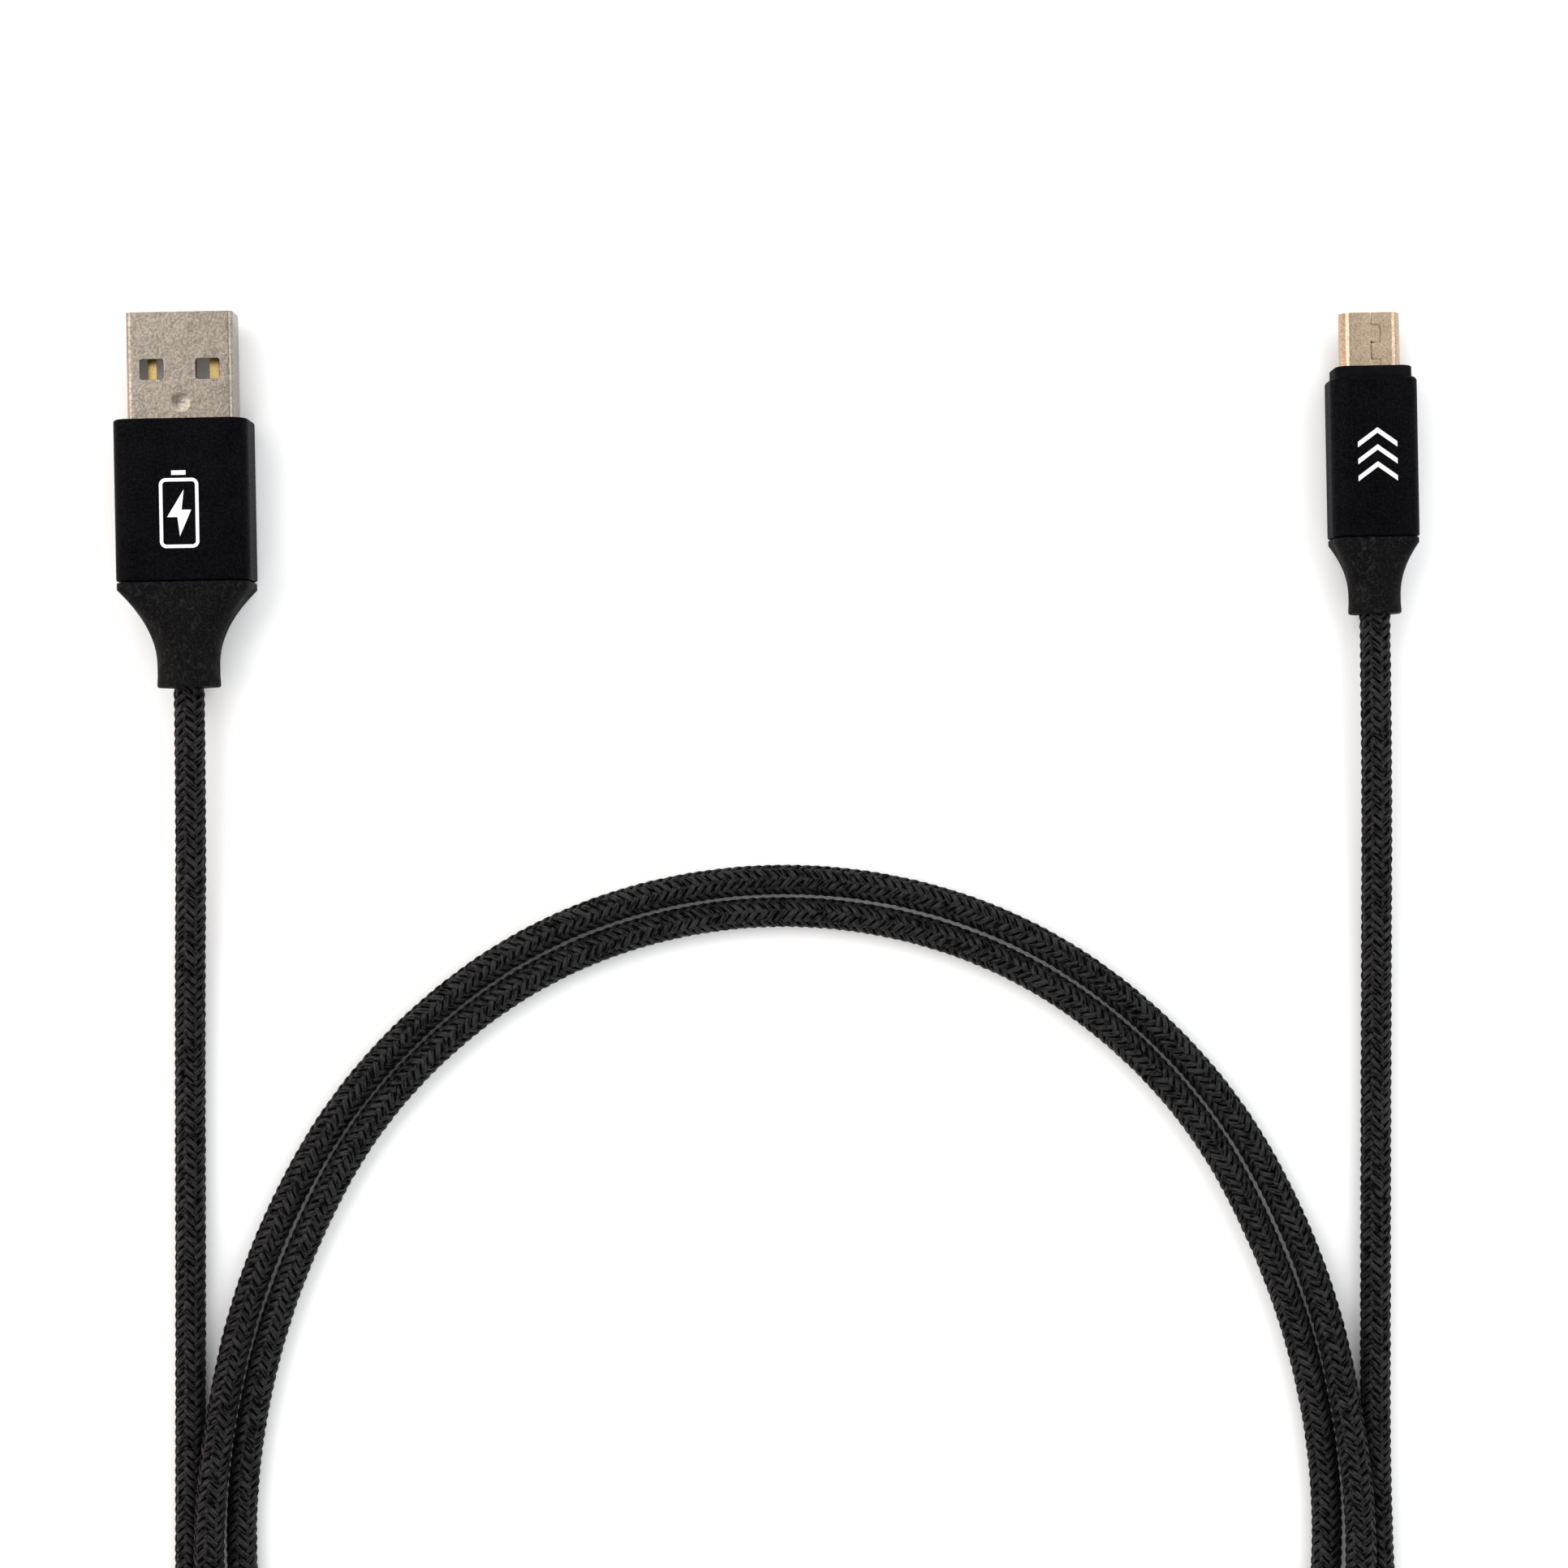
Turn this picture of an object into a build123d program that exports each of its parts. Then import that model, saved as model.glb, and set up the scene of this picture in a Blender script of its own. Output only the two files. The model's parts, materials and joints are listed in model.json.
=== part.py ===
"""Charging cable: a host plug and a device plug joined by a loosely coiled braided cord.

Millimetres, +Z up. Both plugs lie flat on the surface z = 0 with their tips towards +Y. The origin
is the middle of the two plugs' footprint, on the surface.
"""
from build123d import *
import math
import os

os.makedirs("parts", exist_ok=True)

# ------------------------------------------------------------------ overall layout
plug_spacing = 133.9  # host plug axis to device plug axis, along X
device_setback = 2.4  # how far the device plug's tip lies behind the host plug's
fit = 0.05  # clearance on each side between pieces that slot together
metal_gap = 0.1  # between the two halves of a shield can
bend_share = 0.45  # share of the shorter run beside a corner that the corner's arc takes up

# ------------------------------------------------------------------ host plug
host_shell_width = 12.0
host_shell_height = 4.5
host_shell_wall = 0.3
host_shell_corner = 0.6
host_shell_exposed = 12.1  # ahead of the housing
host_shell_hidden = 6.6  # inside the housing
host_window_width = 2.7
host_window_length = 2.3
host_window_corner = 0.3
host_window_offset = 3.13  # from the axis to a window's middle
host_window_back = 6.45  # from the tip to a window's middle
host_dimple_radius = 1.15
host_dimple_depth = 0.14
host_dimple_back = 10.2
host_slit_length = 1.0
host_slit_width = 0.18
host_housing_width = 15.1
host_housing_height = 8.0
host_housing_length = 18.1
host_housing_corner = 2.0
host_housing_wall = 0.9
host_housing_edge = 0.3
host_tongue_back = 0.4  # the tongue's end behind the tip
host_tongue_thickness = 1.85
host_block_lead = 3.2  # the full-height block starts this far ahead of the housing
host_block_length = 6.6
host_terrace_length = 2.6  # shelf behind the block that carries the solder tails
host_contact_width = 1.0
host_contact_thickness = 0.3
host_contact_proud = 0.05
host_contact_pitch_inner = 2.0  # between the two data contacts
host_contact_pitch_outer = 7.0  # between the power and the ground contact
host_contact_back_outer = 1.2  # power and ground mate first
host_contact_back_inner = 2.2
host_can_setback = 2.1  # the shield can starts this far behind the housing's front
host_sleeve_length = 3.0
host_ring_length = 2.2
host_mould_rear = 0.5  # thickness of the mould behind the crimp
host_spigot_length = 0.8  # of the strain relief, inside the housing
host_relief_length = 11.9
host_relief_inset = 0.1  # the rim stands this far inside the housing's outline
host_relief_rim_length = 0.8
host_relief_neck = 6.95  # diameter of the straight end
host_relief_gap = 0.15  # groove behind the housing

# ------------------------------------------------------------------ device plug
device_shell_width = 6.85
device_shell_bevel = 0.775  # the narrow face is this much narrower on each side
device_shell_height = 1.8
device_shell_wall = 0.25
device_shell_corner = 0.35
device_shell_exposed = 6.2  # ahead of the collar
device_shell_hidden = 5.3
device_collar_inset = 0.575  # the collar stands this far inside the housing's outline
device_collar_length = 1.25
device_collar_corner = 1.5
device_collar_edge = 0.25
device_housing_width = 9.8
device_housing_height = 7.0
device_housing_length = 17.9
device_housing_corner = 2.1
device_housing_wall = 0.8
device_housing_edge = 0.5
device_tongue_back = 0.35
device_tongue_thickness = 0.6
device_block_lead = 0.45  # the full-height block starts this far ahead of the housing
device_block_length = 4.2
device_shelf_length = 3.0  # carries the solder tails on both faces
device_shelf_width = 4.6
device_shelf_thickness = 0.65
device_contact_count = 5
device_contact_pitch = 0.65
device_contact_width = 0.3
device_contact_thickness = 0.15
device_contact_back = 1.2  # nose of a contact spring, behind the tip
device_contact_hold = 0.8  # a contact spring's root, ahead of the block
device_contact_straight = 1.0  # straight part of a spring at its root
device_contact_nose = 1.1  # from a spring's end to its lowest point
device_spring_drop = 0.35  # a spring's middle line below the roof, at its root
device_slot_lead = 0.3  # a spring's slot starts this far ahead of it
device_tail_inset = 0.2  # a tail ends this far inside the shelf's end
device_jog_gap = 0.3  # from the latch base to the upright of an even tail
device_contact_dip = 0.28  # how far a spring's nose stands below the tongue
device_latch_offset = 2.15  # from the axis to a latch spring's middle
device_latch_width = 0.6
device_latch_thickness = 0.18
device_latch_back = 2.5
device_latch_hold = 1.6  # a latch spring's root, behind the block's front
device_latch_reach = 1.1  # length of the hook and of its slot in the shell
device_hook_flat = 0.44  # flat end of the hook
device_latch_sweep = 0.3  # room above a latch spring to flex in
device_latch_proud = 0.28  # hook outside the shell
device_base_length = 1.75
device_can_setback = 2.55  # the shield can starts this far behind the housing's front
device_can_step = 0.4  # the can is this much wider than the shell on each side
device_can_rise = 0.1  # the can stands this far above and below the crimp sleeve
device_sleeve_length = 3.0
device_ring_length = 2.2
device_mould_rear = 1.8
device_spigot_length = 0.75
device_relief_length = 8.6
device_relief_inset = 0.1
device_relief_rim_length = 0.6
device_relief_neck = 5.8
device_relief_gap = 0.1

# ------------------------------------------------------------------ cord and wiring
cord_diameter = 3.5
cord_clearance = 0.1  # round the cord, in the strain reliefs
jacket_diameter = 2.9  # inner jacket, bared inside the plugs
jacket_wall = 0.25
jacket_inset = 0.2  # the jacket reaches this far into the shield can
fold_thickness = 0.2  # shield braid folded back over the jacket
fold_inset = 0.1  # from the can's rear wall to the braid fold
fold_overhang = 0.3  # the fold is this much longer than the crimp sleeve over it
ring_inset = 0.4  # from the can's rear wall to the crimp ring
can_wall = 0.3
ring_wall = 0.4
wire_diameter = 0.95
wire_gap = 0.05  # between neighbouring wires
wire_straight_share = 0.2  # of a wire's run inside a can that is straight at each end
host_wire_setback = 1.2  # a wire's insulation starts this far behind its tail
device_wire_setback = 0.9
conductor_diameter = 0.45
conductor_length = 2.6
solder_width = 1.1
solder_length = 1.5
solder_height = 0.62
solder_setback = 0.2  # the solder starts this far behind the conductor's end
solder_round = 0.3  # share of the solder's height that its edges are rounded by
tail_gap = 0.03  # solder under a conductor

# ------------------------------------------------------------------ strain reliefs
relief_round = 0.5  # a rim's corners are this much rounder than the housing's inside
nearly_round = 0.49  # corner radius over height of a section that is close to a circle
# share of the step from the neck to the rim that is left, and the distance behind the rim
host_flare = ((1.0, 0.0), (0.72, 1.2), (0.41, 3.0), (0.19, 4.9), (0.05, 6.7), (0.0, 8.4))
device_flare = ((1.0, 0.0), (0.74, 0.9), (0.26, 2.8), (0.05, 4.5), (0.0, 5.8))

# ------------------------------------------------------------------ places that follow from the sizes
host_plug_length = host_shell_exposed + host_housing_length + host_relief_length
half_span = (plug_spacing + host_housing_width / 2 + device_housing_width / 2) / 2
host_x = host_housing_width / 2 - half_span
device_x = half_span - device_housing_width / 2
host_tip_y = host_plug_length / 2
device_tip_y = host_tip_y - device_setback
host_axis_z = host_housing_height / 2
device_axis_z = device_housing_height / 2
host_housing_back = host_shell_exposed
host_housing_end = host_housing_back + host_housing_length
device_housing_back = device_shell_exposed + device_collar_length
device_housing_end = device_housing_back + device_housing_length
host_block_back = host_housing_back - host_block_lead
device_block_back = device_housing_back - device_block_lead
device_contact_root = device_block_back - device_contact_hold
device_latch_root = device_block_back + device_latch_hold
host_fold_length = host_sleeve_length + fold_overhang
device_fold_length = device_sleeve_length + fold_overhang
# from the rear: strain relief's spigot, mould behind the crimp, crimp, shield can
host_mould_end = host_housing_end - host_spigot_length
device_mould_end = device_housing_end - device_spigot_length
host_crimp_end = host_mould_end - host_mould_rear
device_crimp_end = device_mould_end - device_mould_rear
host_can_back = host_housing_back + host_can_setback
device_can_back = device_housing_back + device_can_setback
host_can_end = host_crimp_end - host_fold_length - 2 * fold_inset
device_can_end = device_crimp_end - device_fold_length - 2 * fold_inset
host_jacket_back = host_can_end - jacket_inset
device_jacket_back = device_can_end - jacket_inset


def host_section(back, x=0.0, z=0.0):
    """Cross-section plane of the host plug, `back` behind its tip; local x is X, local y is Z."""
    origin = (host_x + x, host_tip_y - back, host_axis_z + z)
    return Plane(origin=origin, x_dir=(1, 0, 0), z_dir=(0, -1, 0))


def device_section(back, x=0.0, z=0.0):
    """Cross-section plane of the device plug, `back` behind its tip."""
    origin = (device_x + x, device_tip_y - back, device_axis_z + z)
    return Plane(origin=origin, x_dir=(1, 0, 0), z_dir=(0, -1, 0))


def host_plan(z):
    """Plane parallel to the surface at height z above the host plug's axis; local y is Y."""
    return Plane(origin=(host_x, host_tip_y, host_axis_z + z), x_dir=(1, 0, 0), z_dir=(0, 0, 1))


def device_plan(z):
    """Plane parallel to the surface at height z above the device plug's axis."""
    return Plane(origin=(device_x, device_tip_y, device_axis_z + z), x_dir=(1, 0, 0), z_dir=(0, 0, 1))


def device_side(x):
    """Upright plane along the device plug at x; local x runs back from the tip, local y is Z."""
    return Plane(origin=(device_x + x, device_tip_y, device_axis_z), x_dir=(0, -1, 0), z_dir=(-1, 0, 0))


def save(part, name):
    """Label a finished piece and write it to its own file."""
    part.label = name
    export_step(part, f"parts/{name}.step")


# ------------------------------------------------------------------ shell outlines
def host_shell_face(grow=0.0):
    """Outline of the host plug's shell, grown on every side."""
    with BuildSketch() as outline:
        RectangleRounded(
            host_shell_width + 2 * grow, host_shell_height + 2 * grow, host_shell_corner + grow
        )
    return outline.sketch


def device_shell_face(grow=0.0):
    """Outline of the device plug's shell: full width below, bevelled to the narrow face above."""
    half_width = device_shell_width / 2
    half_top = half_width - device_shell_bevel
    half_height = device_shell_height / 2
    with BuildSketch() as outline:
        with BuildLine():
            Polyline(
                (-half_width, -half_height),
                (half_width, -half_height),
                (half_width, 0),
                (half_top, half_height),
                (-half_top, half_height),
                (-half_width, 0),
                close=True,
            )
        make_face()
        fillet(outline.vertices(), device_shell_corner)
        if grow != 0:
            offset(amount=grow, kind=Kind.INTERSECTION, mode=Mode.REPLACE)
    return outline.sketch


# ------------------------------------------------------------------ host plug: shell and contacts
host_shell_length = host_shell_exposed + host_shell_hidden
with BuildPart() as host_shell:
    with BuildSketch(host_section(0)):
        add(host_shell_face())
        add(host_shell_face(-host_shell_wall), mode=Mode.SUBTRACT)
    extrude(amount=host_shell_length)
    with BuildSketch(host_plan(0)):
        with Locations((-host_window_offset, -host_window_back), (host_window_offset, -host_window_back)):
            RectangleRounded(host_window_width, host_window_length, host_window_corner)
    extrude(amount=host_shell_height, both=True, mode=Mode.SUBTRACT)
    dimple_sphere = (host_dimple_radius**2 + host_dimple_depth**2) / (2 * host_dimple_depth)
    dimple_rise = host_shell_height / 2 + dimple_sphere - host_dimple_depth
    with Locations(
        (host_x, host_tip_y - host_dimple_back, host_axis_z + dimple_rise),
        (host_x, host_tip_y - host_dimple_back, host_axis_z - dimple_rise),
    ):
        Sphere(dimple_sphere, mode=Mode.SUBTRACT)
    with BuildSketch(host_plan(0)):
        with Locations((0, -host_dimple_back)):
            SlotOverall(host_slit_length, host_slit_width)
    extrude(amount=host_shell_height, both=True, mode=Mode.SUBTRACT)
save(host_shell.part, "host_shell")

host_contacts = {
    "host_contact_power": (-host_contact_pitch_outer / 2, host_contact_back_outer),
    "host_contact_data_minus": (-host_contact_pitch_inner / 2, host_contact_back_inner),
    "host_contact_data_plus": (host_contact_pitch_inner / 2, host_contact_back_inner),
    "host_contact_ground": (host_contact_pitch_outer / 2, host_contact_back_outer),
}
host_inner_height = host_shell_height - 2 * host_shell_wall - 2 * fit
host_tongue_top = host_tongue_thickness - host_inner_height / 2
host_tail_top = host_tongue_top + host_contact_proud
host_tail_end = host_block_back + host_block_length + host_terrace_length
host_contact_middle = host_tail_top - host_contact_thickness / 2
host_contact_solids = []
for name, (x, back) in host_contacts.items():
    with BuildPart() as host_contact:
        with BuildSketch(host_section(back, x, host_contact_middle)):
            Rectangle(host_contact_width, host_contact_thickness)
        extrude(amount=host_tail_end - back)
        nose = host_contact.edges().group_by(Axis.Y)[-1].filter_by(Axis.X).sort_by(Axis.Z)[-1]
        chamfer(nose, host_contact_thickness / 2)
    host_contact_solids.append(host_contact.part)
    save(host_contact.part, name)

with BuildPart() as host_insulator:
    with BuildSketch(host_section(host_tongue_back)):
        add(host_shell_face(-host_shell_wall - fit))
        with Locations((0, host_tongue_top + host_shell_height / 2)):
            Rectangle(host_shell_width, host_shell_height, mode=Mode.SUBTRACT)
    extrude(amount=host_tail_end - host_tongue_back)
    with BuildSketch(host_section(host_block_back)):
        add(host_shell_face(-host_shell_wall - fit))
    extrude(amount=host_block_length)
    for solid in host_contact_solids:
        add(solid, mode=Mode.SUBTRACT)
save(host_insulator.part, "host_insulator")

# ------------------------------------------------------------------ device plug: shell, springs, contacts
half_shell = device_shell_height / 2
device_floor_z = -half_shell + device_shell_wall  # inner face of the shell's wide wall
device_roof_z = half_shell - device_shell_wall - fit
device_tongue_z = device_roof_z - device_tongue_thickness
device_latch_z = device_floor_z + fit  # underside of a latch spring
with BuildPart() as device_shell:
    with BuildSketch(device_section(0)):
        add(device_shell_face())
        add(device_shell_face(-device_shell_wall), mode=Mode.SUBTRACT)
    extrude(amount=device_shell_exposed + device_shell_hidden)
    with BuildSketch(device_plan(-half_shell)):
        slot_middle = -(device_latch_back + device_latch_reach / 2)
        with Locations((-device_latch_offset, slot_middle), (device_latch_offset, slot_middle)):
            Rectangle(device_latch_width + 4 * fit, device_latch_reach + 4 * fit)
    extrude(amount=device_shell_wall + fit, both=True, mode=Mode.SUBTRACT)
save(device_shell.part, "device_shell")

# a latch spring is a flat leaf with a hook that drops through the shell's slot
for name, x in (("device_latch_left", -device_latch_offset), ("device_latch_right", device_latch_offset)):
    with BuildPart() as device_latch:
        with BuildSketch(device_side(x)):
            with BuildLine():
                leaf_top = device_latch_z + device_latch_thickness
                hook_z = -half_shell - device_latch_proud
                hook_end = device_latch_back + device_latch_reach
                Polyline(
                    (device_latch_back, leaf_top),
                    (device_latch_root, leaf_top),
                    (device_latch_root, device_latch_z),
                    (hook_end, device_latch_z),
                    (hook_end, hook_z),
                    (hook_end - device_hook_flat, hook_z),
                    (device_latch_back, device_latch_z - device_latch_thickness),
                    close=True,
                )
            make_face()
        extrude(amount=device_latch_width / 2, both=True)
    save(device_latch.part, name)

# both latch springs grow out of one base plate held in the insulator
with BuildPart() as device_latch_base:
    base_middle = device_latch_z + device_latch_thickness / 2
    with BuildSketch(device_section(device_latch_root + fit, z=base_middle)):
        Rectangle(2 * device_latch_offset + device_latch_width, device_latch_thickness)
    extrude(amount=device_base_length)
save(device_latch_base.part, "device_latch_base")

middle_contact = (device_contact_count - 1) / 2
device_contact_places = [
    (number - middle_contact) * device_contact_pitch for number in range(device_contact_count)
]
# contact springs: root in the block, bowed down to the nose, end turned up
device_spring_z = device_roof_z - device_spring_drop
half_leaf = device_contact_thickness / 2
nose_z = device_tongue_z - device_contact_dip + half_leaf
for number, x in enumerate(device_contact_places, 1):
    with BuildPart() as device_contact:
        with BuildSketch(device_side(x)):
            with BuildLine() as spring_line:
                Polyline(
                    (device_contact_root, device_spring_z),
                    (device_contact_root - device_contact_straight, device_spring_z),
                    (device_contact_back + device_contact_nose, nose_z),
                    (device_contact_back, device_tongue_z + half_leaf),
                )
            trace(line_width=device_contact_thickness)
        extrude(amount=device_contact_width / 2, both=True)
    save(device_contact.part, f"device_contact_{number}")

# fixed tails behind the springs: odd ones on the shelf's upper face, even ones below it
device_shelf_top = device_spring_z - half_leaf
device_shelf_bottom = device_shelf_top - device_shelf_thickness
device_tail_end = device_block_back + device_block_length + device_shelf_length - device_tail_inset
device_jog_back = device_latch_root + device_base_length + device_jog_gap
with BuildPart() as device_contact_tails:
    for number, x in enumerate(device_contact_places, 1):
        start = device_contact_root + fit
        if number % 2 == 1:
            with BuildSketch(device_section(start, x, device_spring_z)):
                Rectangle(device_contact_width, device_contact_thickness)
            extrude(amount=device_tail_end - start)
        else:
            low_z = device_shelf_bottom - half_leaf
            with BuildSketch(device_section(start, x, device_spring_z)):
                Rectangle(device_contact_width, device_contact_thickness)
            extrude(amount=device_jog_back - start)
            drop = device_spring_z + half_leaf - (low_z - half_leaf)
            drop_middle = (device_spring_z + low_z) / 2
            with BuildSketch(device_section(device_jog_back, x, drop_middle)):
                Rectangle(device_contact_width, drop)
            extrude(amount=device_contact_thickness)
            with BuildSketch(device_section(device_jog_back, x, low_z)):
                Rectangle(device_contact_width, device_contact_thickness)
            extrude(amount=device_tail_end - device_jog_back)
save(device_contact_tails.part, "device_contact_tails")

with BuildPart() as device_insulator:
    with BuildSketch(device_section(device_tongue_back)):
        add(device_shell_face(-device_shell_wall - fit))
        with Locations((0, device_tongue_z - device_shell_height / 2)):
            Rectangle(device_shell_width, device_shell_height, mode=Mode.SUBTRACT)
    extrude(amount=device_block_back - device_tongue_back)
    with BuildSketch(device_section(device_block_back)):
        add(device_shell_face(-device_shell_wall - fit))
    extrude(amount=device_block_length)
    shelf_back = device_block_back + device_block_length
    with BuildSketch(device_section(shelf_back, z=(device_shelf_top + device_shelf_bottom) / 2)):
        Rectangle(device_shelf_width, device_shelf_top - device_shelf_bottom)
    extrude(amount=device_shelf_length)
    # slots in the tongue in which the contact springs flex
    slot_back = device_contact_back - device_slot_lead
    slot_roof = device_spring_z + half_leaf + 2 * fit
    slot_height = slot_roof - device_tongue_z
    for x in device_contact_places:
        with BuildSketch(device_section(slot_back, x, slot_roof - slot_height / 2)):
            Rectangle(device_contact_width + 2 * fit, slot_height)
        extrude(amount=device_contact_root + fit - slot_back, mode=Mode.SUBTRACT)
    # channels in the block in which the latch springs flex
    channel_height = 2 * device_latch_thickness + device_latch_sweep
    for x in (-device_latch_offset, device_latch_offset):
        with BuildSketch(device_section(device_block_back, x, device_floor_z + channel_height / 2)):
            Rectangle(device_latch_width + 2 * fit, channel_height)
        extrude(amount=device_latch_root + fit - device_block_back, mode=Mode.SUBTRACT)
    add(device_contact_tails.part, mode=Mode.SUBTRACT)
    add(device_latch_base.part, mode=Mode.SUBTRACT)
save(device_insulator.part, "device_insulator")


# ------------------------------------------------------------------ wiring inside both plugs
def wire(section, start, end, tail_back, jacket_back):
    """An insulated wire from its place in the cord to just behind its solder tail."""
    straight = (jacket_back - tail_back) * wire_straight_share
    back_points = (
        (end, tail_back),
        (end, tail_back + straight),
        (start, jacket_back - straight),
        (start, jacket_back),
    )
    points = [section(back, x, z).origin for (x, z), back in back_points]
    turn = math.radians((points[1] - points[0]).get_angle(points[2] - points[1]))
    bend = bend_share * straight / math.tan(turn / 2)
    with BuildPart() as insulated:
        with BuildLine():
            FilletPolyline(*points, radius=bend)
        with BuildSketch(section(tail_back, *end)):
            Circle(wire_diameter / 2)
        sweep()
    return insulated.part


def conductor_ends(section, ends, tail_back):
    """The bared ends of the wires, lying over their tails."""
    with BuildPart() as bared:
        for x, z in ends:
            with BuildSketch(section(tail_back - conductor_length, x, z)):
                Circle(conductor_diameter / 2)
            extrude(amount=conductor_length)
    return bared.part


def solder_joints(section, ends, tail_back, conductors):
    """A rounded blob of solder over each bared end; `ends` give each blob's middle and its side."""
    with BuildPart() as blobs:
        for x, z, side in ends:
            base = z - side * (conductor_diameter / 2 + tail_gap)
            middle = base + side * solder_height / 2
            with BuildSketch(section(tail_back - conductor_length + solder_setback, x, middle)):
                Rectangle(solder_width, solder_height)
            extrude(amount=solder_length)
        crown = blobs.edges().filter_by(Axis.Y)
        fillet(crown, solder_height * solder_round)
        add(conductors, mode=Mode.SUBTRACT)
    return blobs.part


wire_lay = (wire_diameter + wire_gap) / 2  # a wire's offset from the axis, sideways and upwards
host_wire_back = host_tail_end + host_wire_setback
host_tail_z = host_tail_top + tail_gap + conductor_diameter / 2
host_wires = {
    "host_wire_power": ((-wire_lay, -wire_lay), (-host_contact_pitch_outer / 2, host_tail_z)),
    "host_wire_data_minus": ((-wire_lay, wire_lay), (-host_contact_pitch_inner / 2, host_tail_z)),
    "host_wire_data_plus": ((wire_lay, wire_lay), (host_contact_pitch_inner / 2, host_tail_z)),
    "host_wire_ground": ((wire_lay, -wire_lay), (host_contact_pitch_outer / 2, host_tail_z)),
}
for name, (start, end) in host_wires.items():
    save(wire(host_section, start, end, host_wire_back, host_jacket_back), name)
host_ends = [end for start, end in host_wires.values()]
host_conductors = conductor_ends(host_section, host_ends, host_wire_back)
save(host_conductors, "host_conductor_ends")
host_blobs = [(x, z, 1) for x, z in host_ends]
save(solder_joints(host_section, host_blobs, host_wire_back, host_conductors), "host_solder_joints")

device_wire_back = device_tail_end + device_wire_setback
device_top_z = device_shelf_top + device_contact_thickness + tail_gap + conductor_diameter / 2
device_low_z = device_shelf_bottom - device_contact_thickness - tail_gap - conductor_diameter / 2
bundle = wire_lay * math.sqrt(2)  # the four wires lie one above, one below and one on each side
device_wires = {
    "device_wire_power": ((-bundle, 0), (device_contact_places[0], device_top_z)),
    "device_wire_data_minus": ((0, -bundle), (device_contact_places[1], device_low_z)),
    "device_wire_data_plus": ((0, bundle), (device_contact_places[2], device_top_z)),
    "device_wire_ground": ((bundle, 0), (device_contact_places[-1], device_top_z)),
}
for name, (start, end) in device_wires.items():
    save(wire(device_section, start, end, device_wire_back, device_jacket_back), name)
device_ends = [end for start, end in device_wires.values()]
device_conductors = conductor_ends(device_section, device_ends, device_wire_back)
save(device_conductors, "device_conductor_ends")
device_blobs = [(x, z, 1 if z > 0 else -1) for x, z in device_ends]
save(
    solder_joints(device_section, device_blobs, device_wire_back, device_conductors),
    "device_solder_joints",
)


# ------------------------------------------------------------------ jackets, shields and crimps
def tube(section, back, length, outer, inner):
    """A round tube on a plug's axis."""
    with BuildPart() as pipe:
        with BuildSketch(section(back)):
            Circle(outer / 2)
            Circle(inner / 2, mode=Mode.SUBTRACT)
        extrude(amount=length)
    return pipe.part


sleeve_bore = jacket_diameter + 2 * fold_thickness + 2 * fit
sleeve_diameter = sleeve_bore + 2 * can_wall
ring_bore = sleeve_diameter + 2 * fit
ring_diameter = ring_bore + 2 * ring_wall


def shield_half(section, mouth, inner_width, inner_height, back, length, sleeve, keep):
    """Half of a shield can: a box gripping the shell, with half of the crimp sleeve behind it."""
    with BuildPart() as half:
        with BuildSketch(section(back)):
            Rectangle(inner_width + 2 * can_wall, inner_height + 2 * can_wall)
        extrude(amount=length)
        fillet(half.edges().filter_by(Axis.Y), can_wall)
        with BuildSketch(section(back + can_wall)):
            Rectangle(inner_width, inner_height)
        extrude(amount=length - 2 * can_wall, mode=Mode.SUBTRACT)
        with BuildSketch(section(back)):
            add(mouth)
        extrude(amount=can_wall, mode=Mode.SUBTRACT)
        with BuildSketch(section(back + length)):
            Circle(sleeve_diameter / 2)
        extrude(amount=sleeve)
        with BuildSketch(section(back + length - can_wall)):
            Circle(sleeve_bore / 2)
        extrude(amount=sleeve + can_wall, mode=Mode.SUBTRACT)
        with BuildSketch(section(back)):
            Rectangle(2 * inner_width, metal_gap)
        extrude(amount=length + sleeve, mode=Mode.SUBTRACT)
        split(bisect_by=Plane.XY.offset(section(back).origin.Z), keep=keep)
    return half.part


host_can_width = host_shell_width + 2 * fit
host_can_height = host_shell_height + 2 * fit
host_can_length = host_can_end - host_can_back
device_can_width = device_shell_width + 2 * device_can_step
device_can_height = sleeve_diameter + 2 * device_can_rise
device_can_length = device_can_end - device_can_back
device_inner_width = device_can_width - 2 * can_wall
device_inner_height = device_can_height - 2 * can_wall
for side, keep in (("upper", Keep.TOP), ("lower", Keep.BOTTOM)):
    host_can = shield_half(
        host_section, host_shell_face(fit), host_can_width, host_can_height,
        host_can_back, host_can_length, host_sleeve_length, keep,
    )
    save(host_can, f"host_shield_{side}")
    device_can = shield_half(
        device_section, device_shell_face(fit), device_inner_width, device_inner_height,
        device_can_back, device_can_length, device_sleeve_length, keep,
    )
    save(device_can, f"device_shield_{side}")

fold_diameter = jacket_diameter + 2 * fold_thickness
jacket_bore = jacket_diameter - 2 * jacket_wall
for plug, section, jacket_back, mould_end, can_end, ring_length, fold_length in (
    (
        "host", host_section, host_jacket_back, host_mould_end, host_can_end,
        host_ring_length, host_fold_length,
    ),
    (
        "device", device_section, device_jacket_back, device_mould_end, device_can_end,
        device_ring_length, device_fold_length,
    ),
):
    jacket_length = mould_end - jacket_back
    save(tube(section, jacket_back, jacket_length, jacket_diameter, jacket_bore), f"{plug}_jacket")
    fold = tube(section, can_end + fold_inset, fold_length, fold_diameter, jacket_diameter)
    save(fold, f"{plug}_braid_fold")
    ring = tube(section, can_end + ring_inset, ring_length, ring_diameter, ring_bore)
    save(ring, f"{plug}_crimp_ring")


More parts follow.
